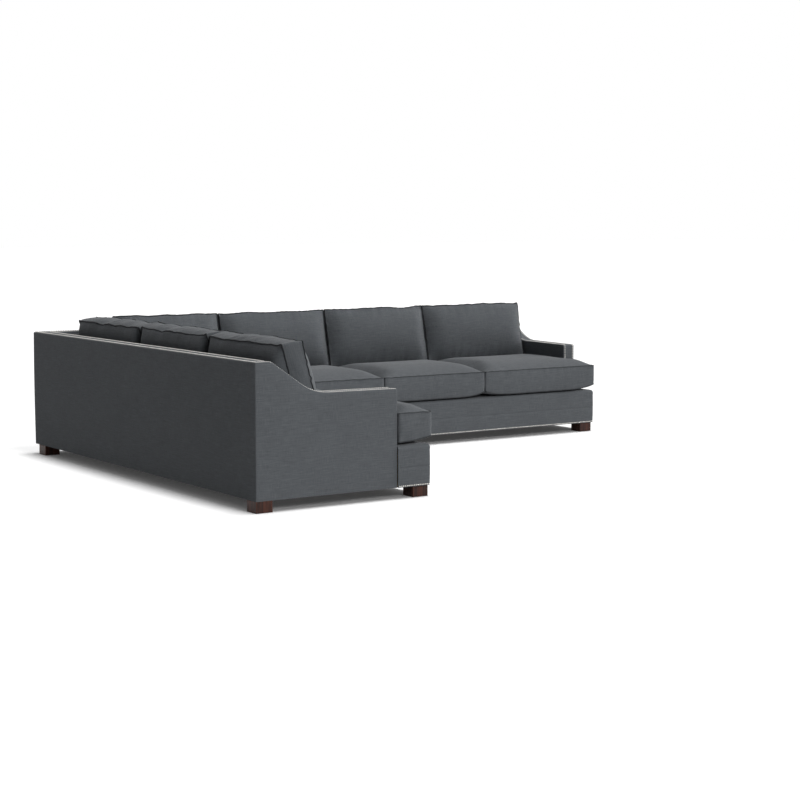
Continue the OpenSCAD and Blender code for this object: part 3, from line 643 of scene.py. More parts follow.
# Back covers
# Cloth over wadding, pulled up over the top rail and down behind the inside back. The top is a
# flat band, and the outside back is one tight panel on each side of the outer corner.
cover_wall = 0.006
edge_r = 0.008
top_soft = 0.0015


def top_band(start, end):
    """Points across the top of the back, crowned between its rounded edges."""
    v = np.linspace(start, end, 9)
    crown = np.sin(np.pi * (v - start) / (end - start))
    return np.stack([v, back_h - top_soft + top_soft * crown], -1)


tight = np.linspace(foot_h, back_h - edge_r - top_soft, 14)
panel_soft = 0.002
swell = np.sin(np.pi * (tight - foot_h) / np.ptp(tight))
outside_line = np.stack([panel_soft * (1 - swell), tight], -1)
inside_drop = 0.037
edge_z = back_h - edge_r - top_soft
back_line = np.concatenate([
    outside_line[:-1], arc((edge_r + panel_soft, edge_z), edge_r, 180, 90, 5)[:-1],
    top_band(edge_r + panel_soft, back_t - edge_r)[:-1],
    arc((back_t - edge_r, edge_z), edge_r, 90, 0, 5), [(back_t, back_h - inside_drop)]])
for unit, legs, stood_for in along_backs():
    cover = sewn(f"{unit}_back_cloth", run(back_line, *legs), cover_wall)
    dressed(cover, f"{unit}_unit", "charcoal_cloth", *(f"{side}_back_cover" for side in stood_for),
            fill=0.95)

# Arms
# Plywood sides padded with wadding. A strip of cloth runs up the front, over the sloping top and
# down the back of each arm, between two side panels, with wadding rolled in along the edges.
arm_h = 0.599
arm_slope, arm_fall = math.radians(34.4), math.radians(0.55)
shoulder_v, shoulder_r, swoop_r, nose_r = 0.096, 0.050, 0.30, 0.012
arm_r, side_soft, side_run, arm_rows = 0.005, 0.003, 0.15, 14
merge_lap, merge_run = 0.005, 0.03


def arm_line(d):
    """Outline of an arm in v and z, set in by d: up its front, over its top and down its back."""
    slope, fall = math.degrees(arm_slope), math.degrees(arm_fall)
    rise, dip = math.tan(arm_slope), math.tan(arm_fall)
    over = (shoulder_v - shoulder_r * math.tan(arm_slope / 2), back_h - shoulder_r)
    run_v = (back_h - arm_h - (arm_d - shoulder_v) * dip) / (rise - dip)
    reach = swoop_r * math.tan((arm_slope - arm_fall) / 2)
    under = (shoulder_v + run_v + reach * math.cos(arm_fall) + swoop_r * math.sin(arm_fall),
             back_h - run_v * rise - reach * math.sin(arm_fall) + swoop_r * math.cos(arm_fall))
    nose = (arm_d - nose_r, arm_h + nose_r * dip - nose_r / math.cos(arm_fall))
    front = np.stack([np.full(arm_rows, arm_d - d), np.linspace(foot_h, nose[1], arm_rows)], -1)

    def between(low, low_r, high, high_r, angle, n):
        """Places on the straight stretch between two arcs, where both face an angle."""
        facing = np.array([math.sin(angle), math.cos(angle)])
        low, high = np.array(low) + low_r * facing, np.array(high) + high_r * facing
        return low + (high - low) * np.linspace(0, 1, n + 2)[1:-1, None]

    rear = np.stack([np.full(arm_rows, d), np.linspace(back_h - arm_r, foot_h, arm_rows)], -1)
    return np.concatenate([
        front[:-1], arc(nose, nose_r - d, 0, 90 - fall, 5),
        between(nose, nose_r - d, under, -swoop_r - d, arm_fall, 14),
        arc(under, swoop_r + d, 270 - fall, 270 - slope, 10),
        between(under, -swoop_r - d, over, shoulder_r - d, arm_slope, 6),
        arc(over, shoulder_r - d, 90 - slope, 90, 8),
        [(over[0] / 2 + arm_r / 2, back_h - d)],
        arc((arm_r, back_h - arm_r), arm_r - d, 90, 180, 4)[:-1], rear])


def arm_cloth(wing, l):
    """Patches of an arm's cover whose outer face lies at u = l."""
    outer = arm_line(0)
    count = len(outer)
    travelled = lengths(outer)
    # The strip and its rounded edges, from the outer side panel to the inner one
    across = [(arm_r * (1 - math.cos(a)), arm_r * (1 - math.sin(a)))
              for a in np.radians(np.linspace(0, 90, 5))]
    middle = [(w, 0.0) for w in np.linspace(arm_r, arm_w - arm_r, 9)[1:-1]]
    sides = across + middle + [(arm_w - s, d) for s, d in reversed(across)]
    # The inner edge has its radius before the back only, and is square where it meets it
    merged = np.clip((outer[:, :1] - back_t + merge_lap) / merge_run, 0, 1)
    deepest = arm_r * 0.999
    strip, strip_uv = [], []
    for number, (s, d) in enumerate(sides):
        line = arm_line(min(d, deepest))
        if number >= len(across) + len(middle):
            line = line * merged + outer * (1 - merged)
        strip.append(wing(l - s, line[:, 0], line[:, 1]))
        strip_uv.append(np.stack([np.broadcast_to(s, count), travelled], -1))
    patches = [(strip, strip_uv)]
    # Side panels, from the bottom up to the outline set in by the edge's radius
    line = arm_line(deepest)
    inner = line * merged + outer * (1 - merged)
    for u, flat, swell in ((l, line, side_soft), (l - arm_w, inner, 0)):
        top = flat[arm_rows - 1:count - arm_rows + 1]
        low = np.stack([top[:, 0], np.full(len(top), foot_h)], -1)
        panel = low + (top - low) * np.linspace(0, 1, arm_rows)[:, None, None]
        v, z = panel[..., 0], panel[..., 1]
        inside = np.minimum.reduce([v, arm_d - v, z - foot_h, top[:, 1] - z])
        patches.append((wing(u + swell * np.clip(inside / side_run, 0, 1) ** 0.6, v, z), panel))
    return patches


for unit, wing, l in (("left", in_left, left_l), ("right", in_right, right_l)):
    arm = sewn(f"{unit}_arm_cloth", arm_cloth(wing, l), cover_wall)
    dressed(arm, f"{unit}_unit", "charcoal_cloth", f"{unit}_arm_cover", fill=0.95)

# Front borders
# A padded panel over the front rails with a roll along its top, sewn across at about half its
# height, and turned round the end of each T-shaped seat to meet the arm.
border_box, right_border_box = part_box("left_front_border"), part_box("right_front_border")
border_v, border_top = half_y - right_border_box[0].y, border_box[1].z
ear_v, meet_v = arm_d + 0.004, arm_d + 0.0006
wadding = 0.008
seam_z, seam_deep, seam_h, roll_r, roll_w = 0.168, 0.0012, 0.003, 0.025, 0.05
border_soft, border_lap, corner_r = 0.002, 0.028, 0.009
# Each unit's wing, length, far end of its border and border legs
sides = (("left", in_left, left_l, half_y - border_box[0].y + wadding,
          ((in_right, corner_l, None), (in_left, None, None))),
         ("right", in_right, right_l, right_border_box[1].x + half_x + wadding,
          ((in_right, unit_u, None),)))


def border_line():
    """Outline of a border as its depth behind the front face, and z."""
    rows = 9
    lower = np.linspace(foot_h, seam_z - seam_h, rows)
    upper = np.linspace(seam_z + seam_h, border_top - roll_r, rows)
    face = np.concatenate([lower, [seam_z], upper])
    swell = border_soft * (1 - np.sin(np.pi * (face - foot_h) / (upper[-1] - foot_h)) ** 0.6)
    swell[rows] += seam_deep
    roll = arc((roll_r, border_top - roll_r), roll_r, 180, 90, 8)
    return np.concatenate([np.stack([swell, face], -1)[:-1], roll,
                           [(roll_w, border_top), (roll_w, border_top - border_lap)]])


def ended(legs, end):
    """Legs whose last one goes to another end."""
    return [*legs[:-1], (*legs[-1][:2], end)]


def border_cloth(legs, wing, ear_end):
    """Patches of a border: straight legs, then round the corner at ear_end and back to the arm."""
    line = border_line()
    depth, z = line[:, 0], line[:, 1]
    set_in = np.maximum(depth, corner_r)
    patches = run(np.stack([border_v - depth, z], -1), *ended(legs, ear_end - set_in))
    travelled = patches[-1][1][-1, :, 0].max()
    up = lengths(line)
    turn = np.radians(np.linspace(0, 90, 7))[:, None]
    reach = (set_in - depth)[None]
    u = ear_end - set_in + reach * np.sin(turn)
    v = border_v - set_in + reach * np.cos(turn)
    uv = np.stack(np.broadcast_arrays(travelled + corner_r * turn, up[None]), -1)
    patches.append((wing(u, v, z[None]), uv))
    travelled += corner_r * math.pi / 2
    share = np.linspace(0, 1, 7)[:, None]
    v = (border_v - set_in) * (1 - share) + meet_v * share
    patches.append((wing(np.broadcast_to(ear_end - depth, v.shape), v, z[None]),
                    np.stack(np.broadcast_arrays(travelled + border_v - v, up[None]), -1)))
    return patches


for unit, wing, l, ear_end, legs in sides:
    border = sewn(f"{unit}_border_cloth", border_cloth(legs, wing, ear_end), cover_wall)
    dressed(border, f"{unit}_unit", "charcoal_cloth", f"{unit}_front_border", fill=0.9)

# Nailheads
# Small domed nails of old pewter, driven head to head through the cloth in rows: along both edges
# of the backs and arms, down the arms' fronts, and along the foot of each front border.
pewter = metallic("pewter", (0.56, 0.545, 0.515), 0.32, 0.0012)
nail_in, nail_pitch, nail_d, nail_rise = 0.0130, 0.0118, 0.0089, 0.0030
nail_stop, border_nails, row_step, nail_sunk, last_nail = 0.30, 0.0685, 0.4, 0.001, 0.006


def new_tree(name, **kinds):
    """A geometry tree, the identifiers of its inputs, and wires from them."""
    tree = bpy.data.node_groups.new(name, "GeometryNodeTree")
    identifiers = {given: tree.interface.new_socket(
        name=given, in_out="INPUT", socket_type="NodeSocket" + kind).identifier
        for given, kind in kinds.items()}
    tree.interface.new_socket(name="Made", in_out="OUTPUT", socket_type="NodeSocketGeometry")
    return (tree, identifiers), {given: Wire(tree).add("NodeGroupInput", out=given)
                                 for given in kinds}


def finished(made, finish):
    """Ends a tree with a geometry as one smooth mesh in a finish."""
    made = made.add("GeometryNodeRealizeInstances", {"Geometry": made})
    made = made.add("GeometryNodeSetShadeSmooth", {"Geometry": made})
    made = made.add("GeometryNodeSetMaterial", {"Geometry": made, "Material": finish})
    made.feed(made.tree.nodes.new("NodeGroupOutput"), {"Made": made})


nail_tree, given = new_tree("nail_rows", Rows="Geometry", Pitch="Float", Head="Float", Rise="Float",
                            Tilt="Float", Seed="Int", Finish="Material")
rows = given["Rows"].add("GeometryNodeMeshToCurve", {"Mesh": given["Rows"]})
spots = rows.add("GeometryNodeResampleCurve", {"Curve": rows, "Length": given["Pitch"]},
                 mode="LENGTH")
outward = rows.add("GeometryNodeInputNamedAttribute", {"Name": "outward"},
                   data_type="FLOAT_VECTOR")
tilt = rows.add("FunctionNodeRandomValue", {"Min": (-1, -1, -1), "Max": (1, 1, 1),
                                            "Seed": given["Seed"]}, data_type="FLOAT_VECTOR")
tilt = rows.add("ShaderNodeVectorMath", {0: tilt, "Scale": given["Tilt"]}, operation="SCALE")
leaning = rows.add("ShaderNodeVectorMath", {0: outward, 1: tilt}, operation="ADD")
facing = rows.add("FunctionNodeAlignRotationToVector", {"Vector": leaning}, axis="Z")
ball = rows.add("GeometryNodeMeshUVSphere", {"Segments": 8, "Rings": 6, "Radius": 1.0})
head_size = rows.add("ShaderNodeCombineXYZ", {0: given["Head"] * 0.5, 1: given["Head"] * 0.5,
                                              2: given["Rise"]})
head = rows.add("GeometryNodeTransform", {"Geometry": ball, "Scale": head_size})
finished(rows.add("GeometryNodeInstanceOnPoints", {"Points": spots, "Instance": head,
                                                   "Rotation": facing}), given["Finish"])


def grown(name, tree, lines, values):
    """Runs a tree on lines of points, each with an outward direction, and keeps the plain mesh."""
    points, edges, directions = [], [], []
    for line, outward, closed in lines:
        first = len(points)
        points += [tuple(p) for p in line]
        directions += [tuple(p) for p in outward]
        edges += [(first + i, first + i + 1) for i in range(len(line) - 1)]
        if closed:
            edges.append((len(points) - 1, first))
    mesh = bpy.data.meshes.new(name + "_line")
    mesh.from_pydata(points, edges, [])
    mesh.attributes.new("outward", "FLOAT_VECTOR", "POINT").data.foreach_set(
        "vector", np.array(directions, np.float32).ravel())
    made = placed(name, mesh)
    growth = made.modifiers.new("growth", "NODES")
    growth.node_group, identifiers = tree
    for given_name, value in values.items():
        growth[identifiers[given_name]] = value
    settle(made)
    made.data.materials.clear()
    made.data.materials.append(values["Finish"])
    made.data.polygons.foreach_set("material_index", np.zeros(len(made.data.polygons), np.int32))
    return made


def with_outward(wing, line, tilt):
    """A row of nails: places (u, v, z) in a wing and the outward directions there."""
    line, tilt = np.asarray(line, float), np.asarray(tilt, float)
    here = wing(*line.T)
    return here, wing(*(line + tilt).T) - here, False


def back_row(wing, inset, start, end):
    """A row along the top of the back."""
    places = [(u, inset, back_h) for u in stations(start, end, row_step)]
    return with_outward(wing, places, [(0, 0, 1)] * len(places))


def arm_row(wing, u, v_start):
    """A row from the back's band down the arm's top and front."""
    line = arm_line(0)[::-1]
    line = line[np.argmax(line[:, 0] > v_start):]
    line = np.concatenate([[(v_start, back_h)], line[line[:, 1] > nail_stop]])
    along = np.gradient(line, axis=0)
    tilt = np.stack([along[:, 1] * -1, along[:, 0]], -1)
    tilt /= np.linalg.norm(tilt, axis=1)[:, None]
    return with_outward(wing, np.insert(line, 0, u, axis=1), np.insert(tilt, 0, 0, axis=1))


def border_rows(legs, wing, ear_end):
    """Rows along the foot of a border, the last one round its far corner."""
    rows = []
    for leg_wing, start, end in ended(legs, ear_end - corner_r):
        start, end = (border_v if place is None else place for place in (start, end))
        places = [(u, border_v - nail_sunk, border_nails) for u in stations(start, end, row_step)]
        rows.append(with_outward(leg_wing, places, [(0, 1, 0)] * len(places)))
    turn = np.radians(np.linspace(0, 90, 5))
    r = corner_r - nail_sunk
    places = [(ear_end - corner_r + r * math.sin(a), border_v - corner_r + r * math.cos(a),
               border_nails) for a in turn]
    tilt = [(math.sin(a), math.cos(a), 0) for a in turn]
    places.append((ear_end - nail_sunk, ear_v + last_nail, border_nails))
    tilt.append((1, 0, 0))
    rows.append(with_outward(wing, places, tilt))
    return rows


insets = (nail_in, arm_w - nail_in)
for unit, wing, l, ear_end, legs in sides:
    if unit == "left":
        lines = [back_row(in_left, inset, inset, left_l - inset) for inset in insets]
        lines += [back_row(in_right, inset, inset, corner_l) for inset in insets]
    else:
        lines = [back_row(in_right, inset, unit_u, right_l - inset) for inset in insets]
    lines += [arm_row(wing, l - inset, inset) for inset in insets]
    heads = grown(f"{unit}_nailheads", nail_tree, lines + border_rows(legs, wing, ear_end),
                  {"Pitch": nail_pitch, "Head": nail_d, "Rise": nail_rise, "Tilt": 0.06, "Seed": 7,
                   "Finish": pewter})
    dressed(heads, f"{unit}_unit", "spring_steel")

# Loose cushions
# Boxed covers of two panels and a band, welted along both seams, over foam wrapped in down on the
# seats and over down on the backs. Filled tight, they crown and their sides pull in at the seams.
mesh_step = 0.018
edge_steps = np.array((0.0, 0.004, 0.009, 0.016, 0.026, 0.040))
crown_run, seat_run, ear_run = 0.20, 0.15, 0.12
soft_gap = 0.0004
deck_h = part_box("left_deck")[1].z
seat_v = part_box("left_inner_seat")[0].x + half_x
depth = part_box("left_inner_seat")[1].x + half_x
lean = math.radians(16)
cushion_v, cushion_z = 0.4452, deck_h + 0.195
corner_round = 0.010


def net_lines(start, end):
    """Lines of a cover's net from start to end, close together at both seams."""
    middle = stations(start + edge_steps[-1], end - edge_steps[-1], mesh_step)
    return np.concatenate([start + edge_steps[:-1], middle, end - edge_steps[-2::-1]])


def wavy(place, seed, shortest=0.035, longest=0.16, waves=7):
    """An uneven wave from -1 to 1 along a seam, the same for the same seed."""
    draw = np.random.default_rng(seed)
    lengths_of = np.exp(draw.uniform(math.log(shortest), math.log(longest), waves))
    starts = draw.uniform(0, 2 * math.pi, waves)
    return sum(np.sin(2 * math.pi * place / length + start)
               for length, start in zip(lengths_of, starts)) / math.sqrt(waves * 2)


def puff(d, reach=crown_run):
    """Share of the crown at d inside the nearest side."""
    return 1 - (1 - np.clip(d / reach, 0, 1)) ** 2.6


def pulled(t, d, least):
    """How far a seam is pulled in at a share t of its length."""
    return least + d * (1 - (2 * t - 1) ** 2)


class Form:
    """A boxed cushion as a net of points: two panels and the band between their seams.

    A T-shaped one has no panel beyond line nb of us before line je of vs.
    """

    def __init__(self, us, vs, nb=None, je=0, band=9):
        nu, nv = len(us), len(vs)
        nb = nu - 1 if nb is None else nb
        ids = np.arange(nu * nv).reshape(nu, nv)
        turns = [(0, 0), (nb, 0), (nb, je), (nu - 1, je), (nu - 1, nv - 1), (0, nv - 1), (0, 0)]
        ring = []
        for (i, j), (next_i, next_j) in zip(turns, turns[1:]):
            n = max(abs(next_i - i), abs(next_j - j))
            ring += [(i + (next_i - i) * k // n, j + (next_j - j) * k // n) for k in range(n)]
        self.u, self.v = np.meshgrid(us, vs, indexing="ij")
        self.ring = tuple(np.array(ring).T)
        self.band = band
        count, n = nu * nv, len(ring)
        seam = ids[self.ring]
        self.edge = [seam, *(2 * count + k * n + np.arange(n) for k in range(band - 1)),
                     count + seam]
        i, j = np.indices((nu - 1, nv - 1))
        kept = (i < nb) | (j >= je)
        a, b, c, d = (part[kept] for part in (ids[:-1, :-1], ids[1:, :-1], ids[1:, 1:],
                                              ids[:-1, 1:]))
        panels = np.stack([a, d, c, b, count + a, count + b, count + c, count + d], -1)
        edge = np.array(self.edge)
        after = np.roll(edge, -1, axis=1)
        walls = np.stack([edge[:-1], after[:-1], after[1:], edge[1:]], -1)
        self.panels = panels.reshape(-1, 4)
        self.faces = np.concatenate([self.panels, walls.reshape(-1, 4)])
        self.used = np.unique(self.faces)

    def fill(self, low, high, belly, seed):
        """Places from both panels and how far the band stands out of its seams at half height."""
        bottom, top = low[self.ring], high[self.ring]
        self.around = lengths(bottom[:, :2])
        rows = []
        for k in range(1, self.band):
            t = k / self.band
            uneven = 1 + 0.3 * wavy(self.around + 0.2 * t, seed)[:, None]
            full = np.minimum(math.sin(math.pi * t) ** 0.8 * uneven, 1)
            rows.append(bottom + (top - bottom) * t + belly * full)
        self.points = np.concatenate([low.reshape(-1, 3), high.reshape(-1, 3), *rows])
        self.height = float(np.linalg.norm(top - bottom, axis=1).mean())
        self.held = np.zeros(len(self.points))

    def uvs(self):
        """Place on the cloth of each corner of each face, in metres."""
        flat = np.stack([self.u.ravel(), self.v.ravel()], -1)
        start, end = self.around, np.append(self.around[1:], self.around[-1] + mesh_step)
        low, high = (self.height * (np.arange(self.band) + k)[:, None] / self.band for k in (0, 1))
        walls = np.stack(np.broadcast_arrays(start, low, end, low, end, high, start, high), -1)
        return np.concatenate([flat[self.panels.ravel() % len(flat)], walls.reshape(-1, 2)])


def rounded(u, v, corners, r):
    """Moves places near the given square corners on to arcs of radius r."""
    u, v = u.copy(), v.copy()
    for cu, cv, su, sv in corners:
        a, b = su * (u - cu) / r + 1, sv * (v - cv) / r + 1
        at_corner = (a > 0) & (b > 0)
        share = np.where(at_corner, np.maximum(a, b) / np.maximum(np.hypot(a, b), 1e-9), 1)
        u = np.where(at_corner, cu + su * r * (a * share - 1), u)
        v = np.where(at_corner, cv + sv * r * (b * share - 1), v)
    return u, v


side_fade = 0.05


def near(d):
    """1 on a side and 0 from side_fade inside it."""
    return np.clip(1 - d / side_fade, 0, 1)


def face_z(v):
    """Height of the face that a back cushion presses on."""
    return cushion_z - soft_gap / math.cos(lean) + (v - cushion_v) * math.tan(lean)


seat_box, seat_crown, seat_tuck, seat_under = 0.166, 0.052, 0.030, 0.006
seam_in, seam_draw, seam_wave, seam_run, seam_held = 0.0015, 0.006, 0.0016, 0.02, 0.8
ear_gap = 0.001


def seat_form(u0, u1, ear=None, corner=False):
    """A seat cushion from u0 to u1, with an ear before the arm out to ear."""
    ear_line = ear_v + 0.002
    far = u1 if ear is None else ear
    us, vs, nb, je = net_lines(u0, u1), net_lines(seat_v, depth), None, 0
    if ear is not None:
        nb = len(us) - 1
        us = np.concatenate([us, net_lines(u1, ear)[1:]])
        vs = net_lines(seat_v, ear_line)
        je = len(vs) - 1
        vs = np.concatenate([vs, net_lines(ear_line, depth)[1:]])
    form = Form(us, vs, nb, je)
    u, v = form.u, form.v
    eared = v > ear_line - 1e-6
    end_u = np.where(eared, far, u1)
    rear = np.where(u > u1 + 1e-6, ear_line, seat_v)
    s = np.clip((u - u0) / (end_u - u0), 0, 1)
    t = (v - seat_v) / (depth - seat_v)
    rise = puff(np.minimum(u - u0, far - u), seat_run) * puff(np.minimum(depth - v, v - seat_v))
    if ear is not None:
        behind = np.where(eared, np.hypot(np.maximum(u1 - u, 0), v - ear_line), u1 - u)
        rise = rise * puff(behind, ear_run)
    corners = [(u0, seat_v, -1, -1), (u0, depth, -1, 1), (far, depth, 1, 1), (u1, seat_v, 1, -1)]
    if ear is not None:
        corners.append((far, ear_line, 1, -1))
    full_u, full_v = rounded(u, v, corners, corner_round)
    near_low, near_high = near(u - u0), near(end_u - u)
    seed = int(u0 * 1000)
    side = pulled(t, seam_draw, seam_in) + seam_wave * wavy(v, seed)
    front = pulled(s, seam_draw, seam_in) + seam_wave * wavy(u, seed + 1)
    seam_u = full_u + near_low * side - near_high * side
    seam_v = full_v - near(depth - v) * front + near(v - rear) * pulled(s, seam_draw * 0.5, seam_in)
    z0 = deck_h + soft_gap
    z1 = z0 + seat_box
    tuck = seat_tuck * np.abs(2 * u - u0 - far) ** 6 / (far - u0) ** 6 * np.clip(t, 0, 1) ** 8
    inside = np.minimum(np.minimum(u - u0, end_u - u), np.minimum(depth - v, v - rear))
    low_z = z0 + tuck + seat_under * (1 - puff(inside, side_fade))
    press = face_z(seam_v)
    if corner:
        press = np.minimum(press, face_z(seam_u))
    near_seam = np.exp(-inside / seam_run)
    ripple = wavy(u, seed + 2) + wavy(v, seed + 3)
    high_z = z1 + seat_crown * rise + near_seam * seam_wave * ripple
    high_z = np.minimum(high_z, press)
    form.limit = press
    belly = np.stack([full_u - seam_u, full_v - seam_v, np.zeros(u.shape)], -1)[form.ring]
    form.fill(np.stack([seam_u, seam_v, low_z], -1), np.stack([seam_u, seam_v, high_z], -1), belly,
              seed + 4)
    form.held[:u.size] = 1
    form.held[form.edge[-1]] = seam_held
    return form


back_length, front_crown, rear_reach = 0.394, 0.064, 0.196
front_run, front_run_up, rear_run = 0.15, 0.19, 0.09
top_sag, top_bow, top_drift = 0.004, 0.032, 0.005
rear_draw, pucker, pucker_run = 0.012, 0.0034, 0.042
sag_run, peak_run, reach_share = 0.03, 0.045, 0.4
foot_held, rear_held = 0.02, 0.4


def back_form(u0, u1, thick, taller=0.0, rise=0.018, swell=0.015, ear=0.0, reach=0.0,
              skew=(0.0, 0.0)):
    """A back cushion from u0 to u1, in x along, y up its lean and c out of its front.

    Its rear seam rises above the front one and the band between them swells. An ear stands up at
    its first front corner, that side reaches out at the top, and each side slants by its skew at
    the foot.
    """
    w, l = u1 - u0, back_length + taller
    seed = int(u0 * 1000) + 50
    xs, ys = net_lines(0, w), net_lines(0, l)
    form = Form(xs, ys, band=8)
    x, y = form.u, form.v
    s, t = x / w, y / l
    corners = [(0, 0, -1, -1), (0, l, -1, 1), (w, l, 1, 1), (w, 0, 1, -1)]
    full_x, full_y = rounded(x, y, corners, corner_round)
    near_low, near_high, near_top = near(x), near(w - x), near(l - y)
    side = pulled(t, seam_draw, seam_in) + seam_wave * wavy(y, seed)
    seam_x = full_x + near_low * side - near_high * side
    rear_x = seam_x + (near_low - near_high) * rear_draw
    ends, tall = np.minimum(x, w - x), np.minimum(y, l - y)
    # The top corners stand up like ears, and the seam between them sags
    sag = top_sag * (1 - np.exp(-ends / sag_run)) + seam_wave * (1 + wavy(x, seed + 1))
    sag += top_drift * wavy(x, seed + 7, 0.16, 0.5, 4)
    seam_y = full_y - near_top * sag
    front_y = seam_y + near_top * ear * np.exp(-x / peak_run)
    fuller_low = 1.1 - 0.2 * t
    near_seam = np.exp(-np.minimum(ends, tall) / pucker_run)
    fine = near_seam * pucker * (wavy(x, seed + 2, 0.03, 0.1) + wavy(y, seed + 3, 0.03, 0.1))
    across = np.sin(math.pi * np.clip(s, 0.02, 0.98))
    bow = top_bow * across ** 0.7 * t ** 4
    bulge = front_crown * puff(ends, front_run) * puff(tall, front_run_up)
    front_c = bulge * fuller_low + fine + bow
    full = puff(ends, rear_run) * puff(tall)
    rear_c = -thick - (rear_reach - thick) * full * fuller_low - fine / 2 - bow / 2
    uneven = 1 + 0.4 * wavy(x, seed + 6, 0.3, 0.8, 3)
    belly = np.stack([full_x - seam_x, near_top * swell * across ** 0.5 * uneven,
                      np.zeros(x.shape)], -1)[form.ring]
    form.fill(np.stack([rear_x, seam_y, rear_c], -1), np.stack([seam_x, front_y, front_c], -1),
              belly, seed + 4)
    places = form.points
    places[:, 1] *= 1 - places[:, 2] / thick * rise / l
    share, up = np.clip(places[:, 0] / w, 0, 1), np.clip(places[:, 1] / l, 0, 1)
    slant = skew[0] + (skew[1] - skew[0]) * share
    places[:, 0] -= reach * np.clip(1 - share / reach_share, 0, 1) * up + slant * (1 - up)
    form.held[places[:, 1] < foot_held] = 1
    form.held[:x.size] = np.maximum(form.held[:x.size], rear_held)
    for seam in (form.edge[0], form.edge[-1]):
        form.held[seam] = np.maximum(form.held[seam], seam_held)
    return form


def back_here(points, wing, u0):
    """Turns a back cushion's own places into the sofa's frame."""
    x, y, c = points.T
    v = cushion_v - y * math.sin(lean) + c * math.cos(lean)
    z = cushion_z + y * math.cos(lean) + c * math.sin(lean)
    return wing(u0 + x, v, z)


def span(node, wing):
    """From and to of a CAD cushion along its wing."""
    low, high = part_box(node)
    if wing is in_left:
        return half_y - high.y, half_y - low.y
    return low.x + half_x, high.x + half_x


cushions = []
for node, wing, arm_at in (
        ("left_end_seat", in_left, left_in), ("left_inner_seat", in_left, None),
        ("corner_seat", in_right, None), ("right_inner_seat", in_right, None),
        ("right_middle_seat", in_right, None), ("right_end_seat", in_right, right_in)):
    u0, u1 = span(node, wing)
    if arm_at is None:
        form = seat_form(u0, u1, None, node == "corner_seat")
    else:
        form = seat_form(u0, arm_at - ear_gap, u1 + wadding)
    cushions.append((node, form, wing, None))
for node, wing, shape in (
        ("left_end_back", in_left, dict(thick=0.112, ear=0.014)),
        ("left_inner_back", in_left, dict(thick=0.112, ear=0.014, taller=0.004)),
        ("corner_left_back", in_left, dict(thick=0.116, taller=0.004, reach=0.025)),
        ("corner_right_back", in_right, dict(thick=0.125, taller=0.006, rise=0.010, swell=0.010,
                                             ear=0.012, reach=0.085, skew=(0.0, 0.008))),
        ("right_inner_back", in_right, dict(thick=0.125, taller=0.001, rise=0.008, swell=0.008,
                                            ear=0.008, skew=(0.006, 0.014))),
        ("right_middle_back", in_right, dict(thick=0.125, taller=0.003, rise=0.006, swell=0.006,
                                             ear=0.005, skew=(0.012, 0.014))),
        ("right_end_back", in_right, dict(thick=0.125, taller=0.006, rise=0.006, swell=0.006,
                                          skew=(0.012, 0.020)))):
    u0, u1 = span(node, wing)
    cushions.append((node, back_form(u0, u1, **shape), wing, u0))

filling = dict(quality=5, mass=0.4, tension_stiffness=18, compression_stiffness=18,
               shear_stiffness=8, bending_stiffness=0.6, use_pressure=True,
               uniform_pressure_force=3.0, vertex_group_mass="held")
blown_frames, blown_cap = 14, 0.012


def blown(forms):
    """Fills the covers with pressure and returns how far each point moved, capped."""
    made = []
    for form in forms:
        mesh = bpy.data.meshes.new("filling")
        mesh.from_pydata(form.points.tolist(), [], form.faces.tolist())
        body = placed("filling", mesh)
        held = body.vertex_groups.new(name="held")
        for weight in np.unique(form.held[form.held > 0]):
            held.add(np.flatnonzero(form.held == weight).tolist(), float(weight), "REPLACE")
        cover = body.modifiers.new("cover", "CLOTH")
        for setting, value in filling.items():
            setattr(cover.settings, setting, value)
        cover.settings.effector_weights.gravity = 0
        cover.collision_settings.use_collision = False
        cover.point_cache.frame_start, cover.point_cache.frame_end = 1, blown_frames
        made.append(body)
    for number in range(1, blown_frames + 1):
        scene.frame_set(number)
    graph = bpy.context.evaluated_depsgraph_get()
    moves = []
    for form, body in zip(forms, made):
        there = np.empty(form.points.size, np.float32)
        body.evaluated_get(graph).data.vertices.foreach_get("co", there)
        move = there.reshape(-1, 3) - form.points
        far = np.linalg.norm(move, axis=1, keepdims=True)
        moves.append(move * np.minimum(1, blown_cap / np.maximum(far, 1e-9)))
        bpy.data.objects.remove(body)
    scene.frame_set(1)
    return moves


forms = [form for node, form, wing, u0 in cushions]
for form, move in zip(forms, blown(forms)):
    form.points = form.points + move

# Welts
# Cords covered in the cloth cut on the cross, sewn into both seams of every cushion, the backs'
# thicker than the seats'. They lie in the seams' shadow, and that shade is painted into their
# cloth, darker on the backs' than on the seats'.
welt_tree, given = new_tree("welts", Seams="Geometry", Radius="Float", Sides="Int",
                            Finish="Material")


def captured(curve):
    """A curve that keeps how far along it each point lies, and that value."""
    node = curve.tree.nodes.new("GeometryNodeCaptureAttribute")
    node.capture_items.new("FLOAT", "Value")
    along = curve.add("GeometryNodeSplineParameter", out="Length")
    curve.feed(node, {"Geometry": curve, "Value": along})
    return (Wire(curve.tree, node.outputs[name]) for name in ("Geometry", "Value"))


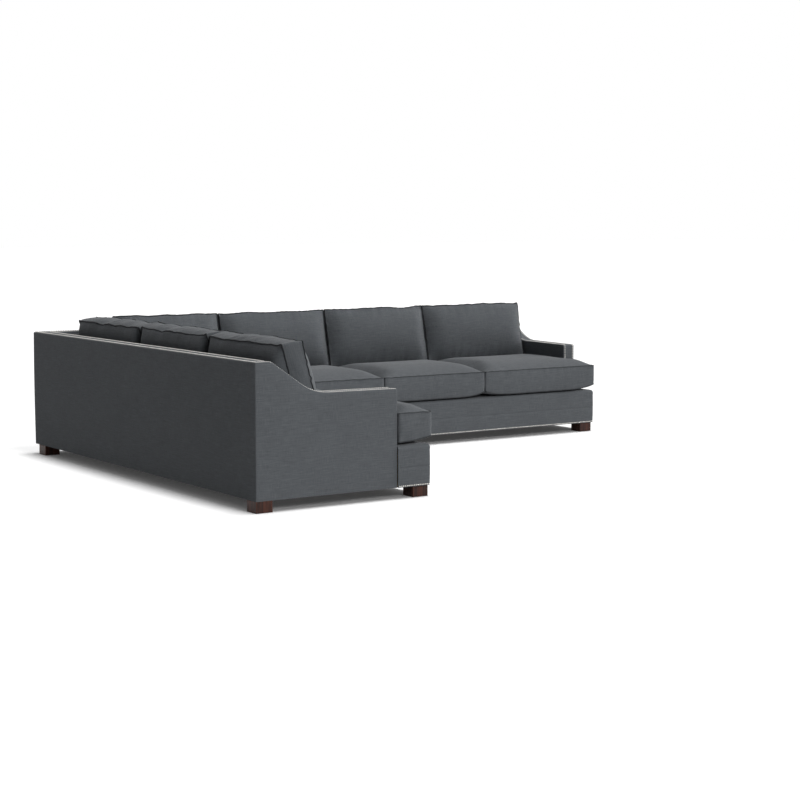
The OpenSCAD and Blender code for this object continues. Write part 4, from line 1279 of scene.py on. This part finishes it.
seams = given["Seams"]
seams, far_along = captured(seams.add("GeometryNodeMeshToCurve", {"Mesh": seams}))
round_cord, far_round = captured(seams.add("GeometryNodeCurvePrimitiveCircle", {
    "Resolution": given["Sides"], "Radius": given["Radius"]}))
cords = seams.add("GeometryNodeCurveToMesh", {"Curve": seams, "Profile Curve": round_cord})
cords = seams.add("GeometryNodeStoreNamedAttribute", {
    "Geometry": cords, "Name": "cloth",
    "Value": seams.add("ShaderNodeCombineXYZ", {0: far_along, 1: far_round})},
    data_type="FLOAT2", domain="CORNER")
finished(cords, given["Finish"])

# The welts' cloth is the charcoal weave at half its colour on the seats and about a quarter on the
# backs: painted shade for the shadow along the seams.
seat_welt = {"Radius": 0.0032, "Sides": 8, "Finish": woven("seat_welt_painted_shade", 0.5)}
back_welt = {"Radius": 0.0042, "Sides": 8, "Finish": woven("back_welt_painted_shade", 0.26)}
for node, form, wing, u0 in cushions:
    seat = u0 is None
    points = form.points
    if seat:
        top = slice(form.u.size, 2 * form.u.size)
        points[top, 2] = np.minimum(points[top, 2], form.limit.ravel())
        points[:, 2] = np.maximum(points[:, 2], deck_h + soft_gap)
        places = wing(*points.T)
    else:
        points[:, 1] = np.maximum(points[:, 1], soft_gap)
        places = back_here(points, wing, u0)
    shape = netted(places, form.faces, form.uvs())
    crease = shape.edges.layers.float.new("crease_edge")
    shape.verts.ensure_lookup_table()
    seams = (form.edge[0], form.edge[-1])
    for seam in seams:
        for a, b in zip(seam.tolist(), np.roll(seam, -1).tolist()):
            shape.edges.get((shape.verts[a], shape.verts[b]))[crease] = 1.0
    bmesh.ops.delete(shape, geom=[v for v in shape.verts if not v.link_faces], context="VERTS")
    smoothed(shape)
    body = node + "_cushion"
    cushion = shaped(body, shape, cloth)
    finer = cushion.modifiers.new("finer", "SUBSURF")
    finer.levels = finer.render_levels = 1
    settle(cushion)
    dressed(cushion, body, "charcoal_cloth", node, fill=0.85 if seat else 0.75)
    middle = places[form.used].mean(0)
    cords = grown(node + "_welts", welt_tree, [
        (places[seam], places[seam] - middle, True) for seam in seams],
        seat_welt if seat else back_welt)
    dressed(cords, body, "charcoal_cloth")
    if wing is in_right and not seat:
        for piece in (cushion, cords):
            shine(key, piece, "EXCLUDE")
            shine(back_key, piece, "INCLUDE")
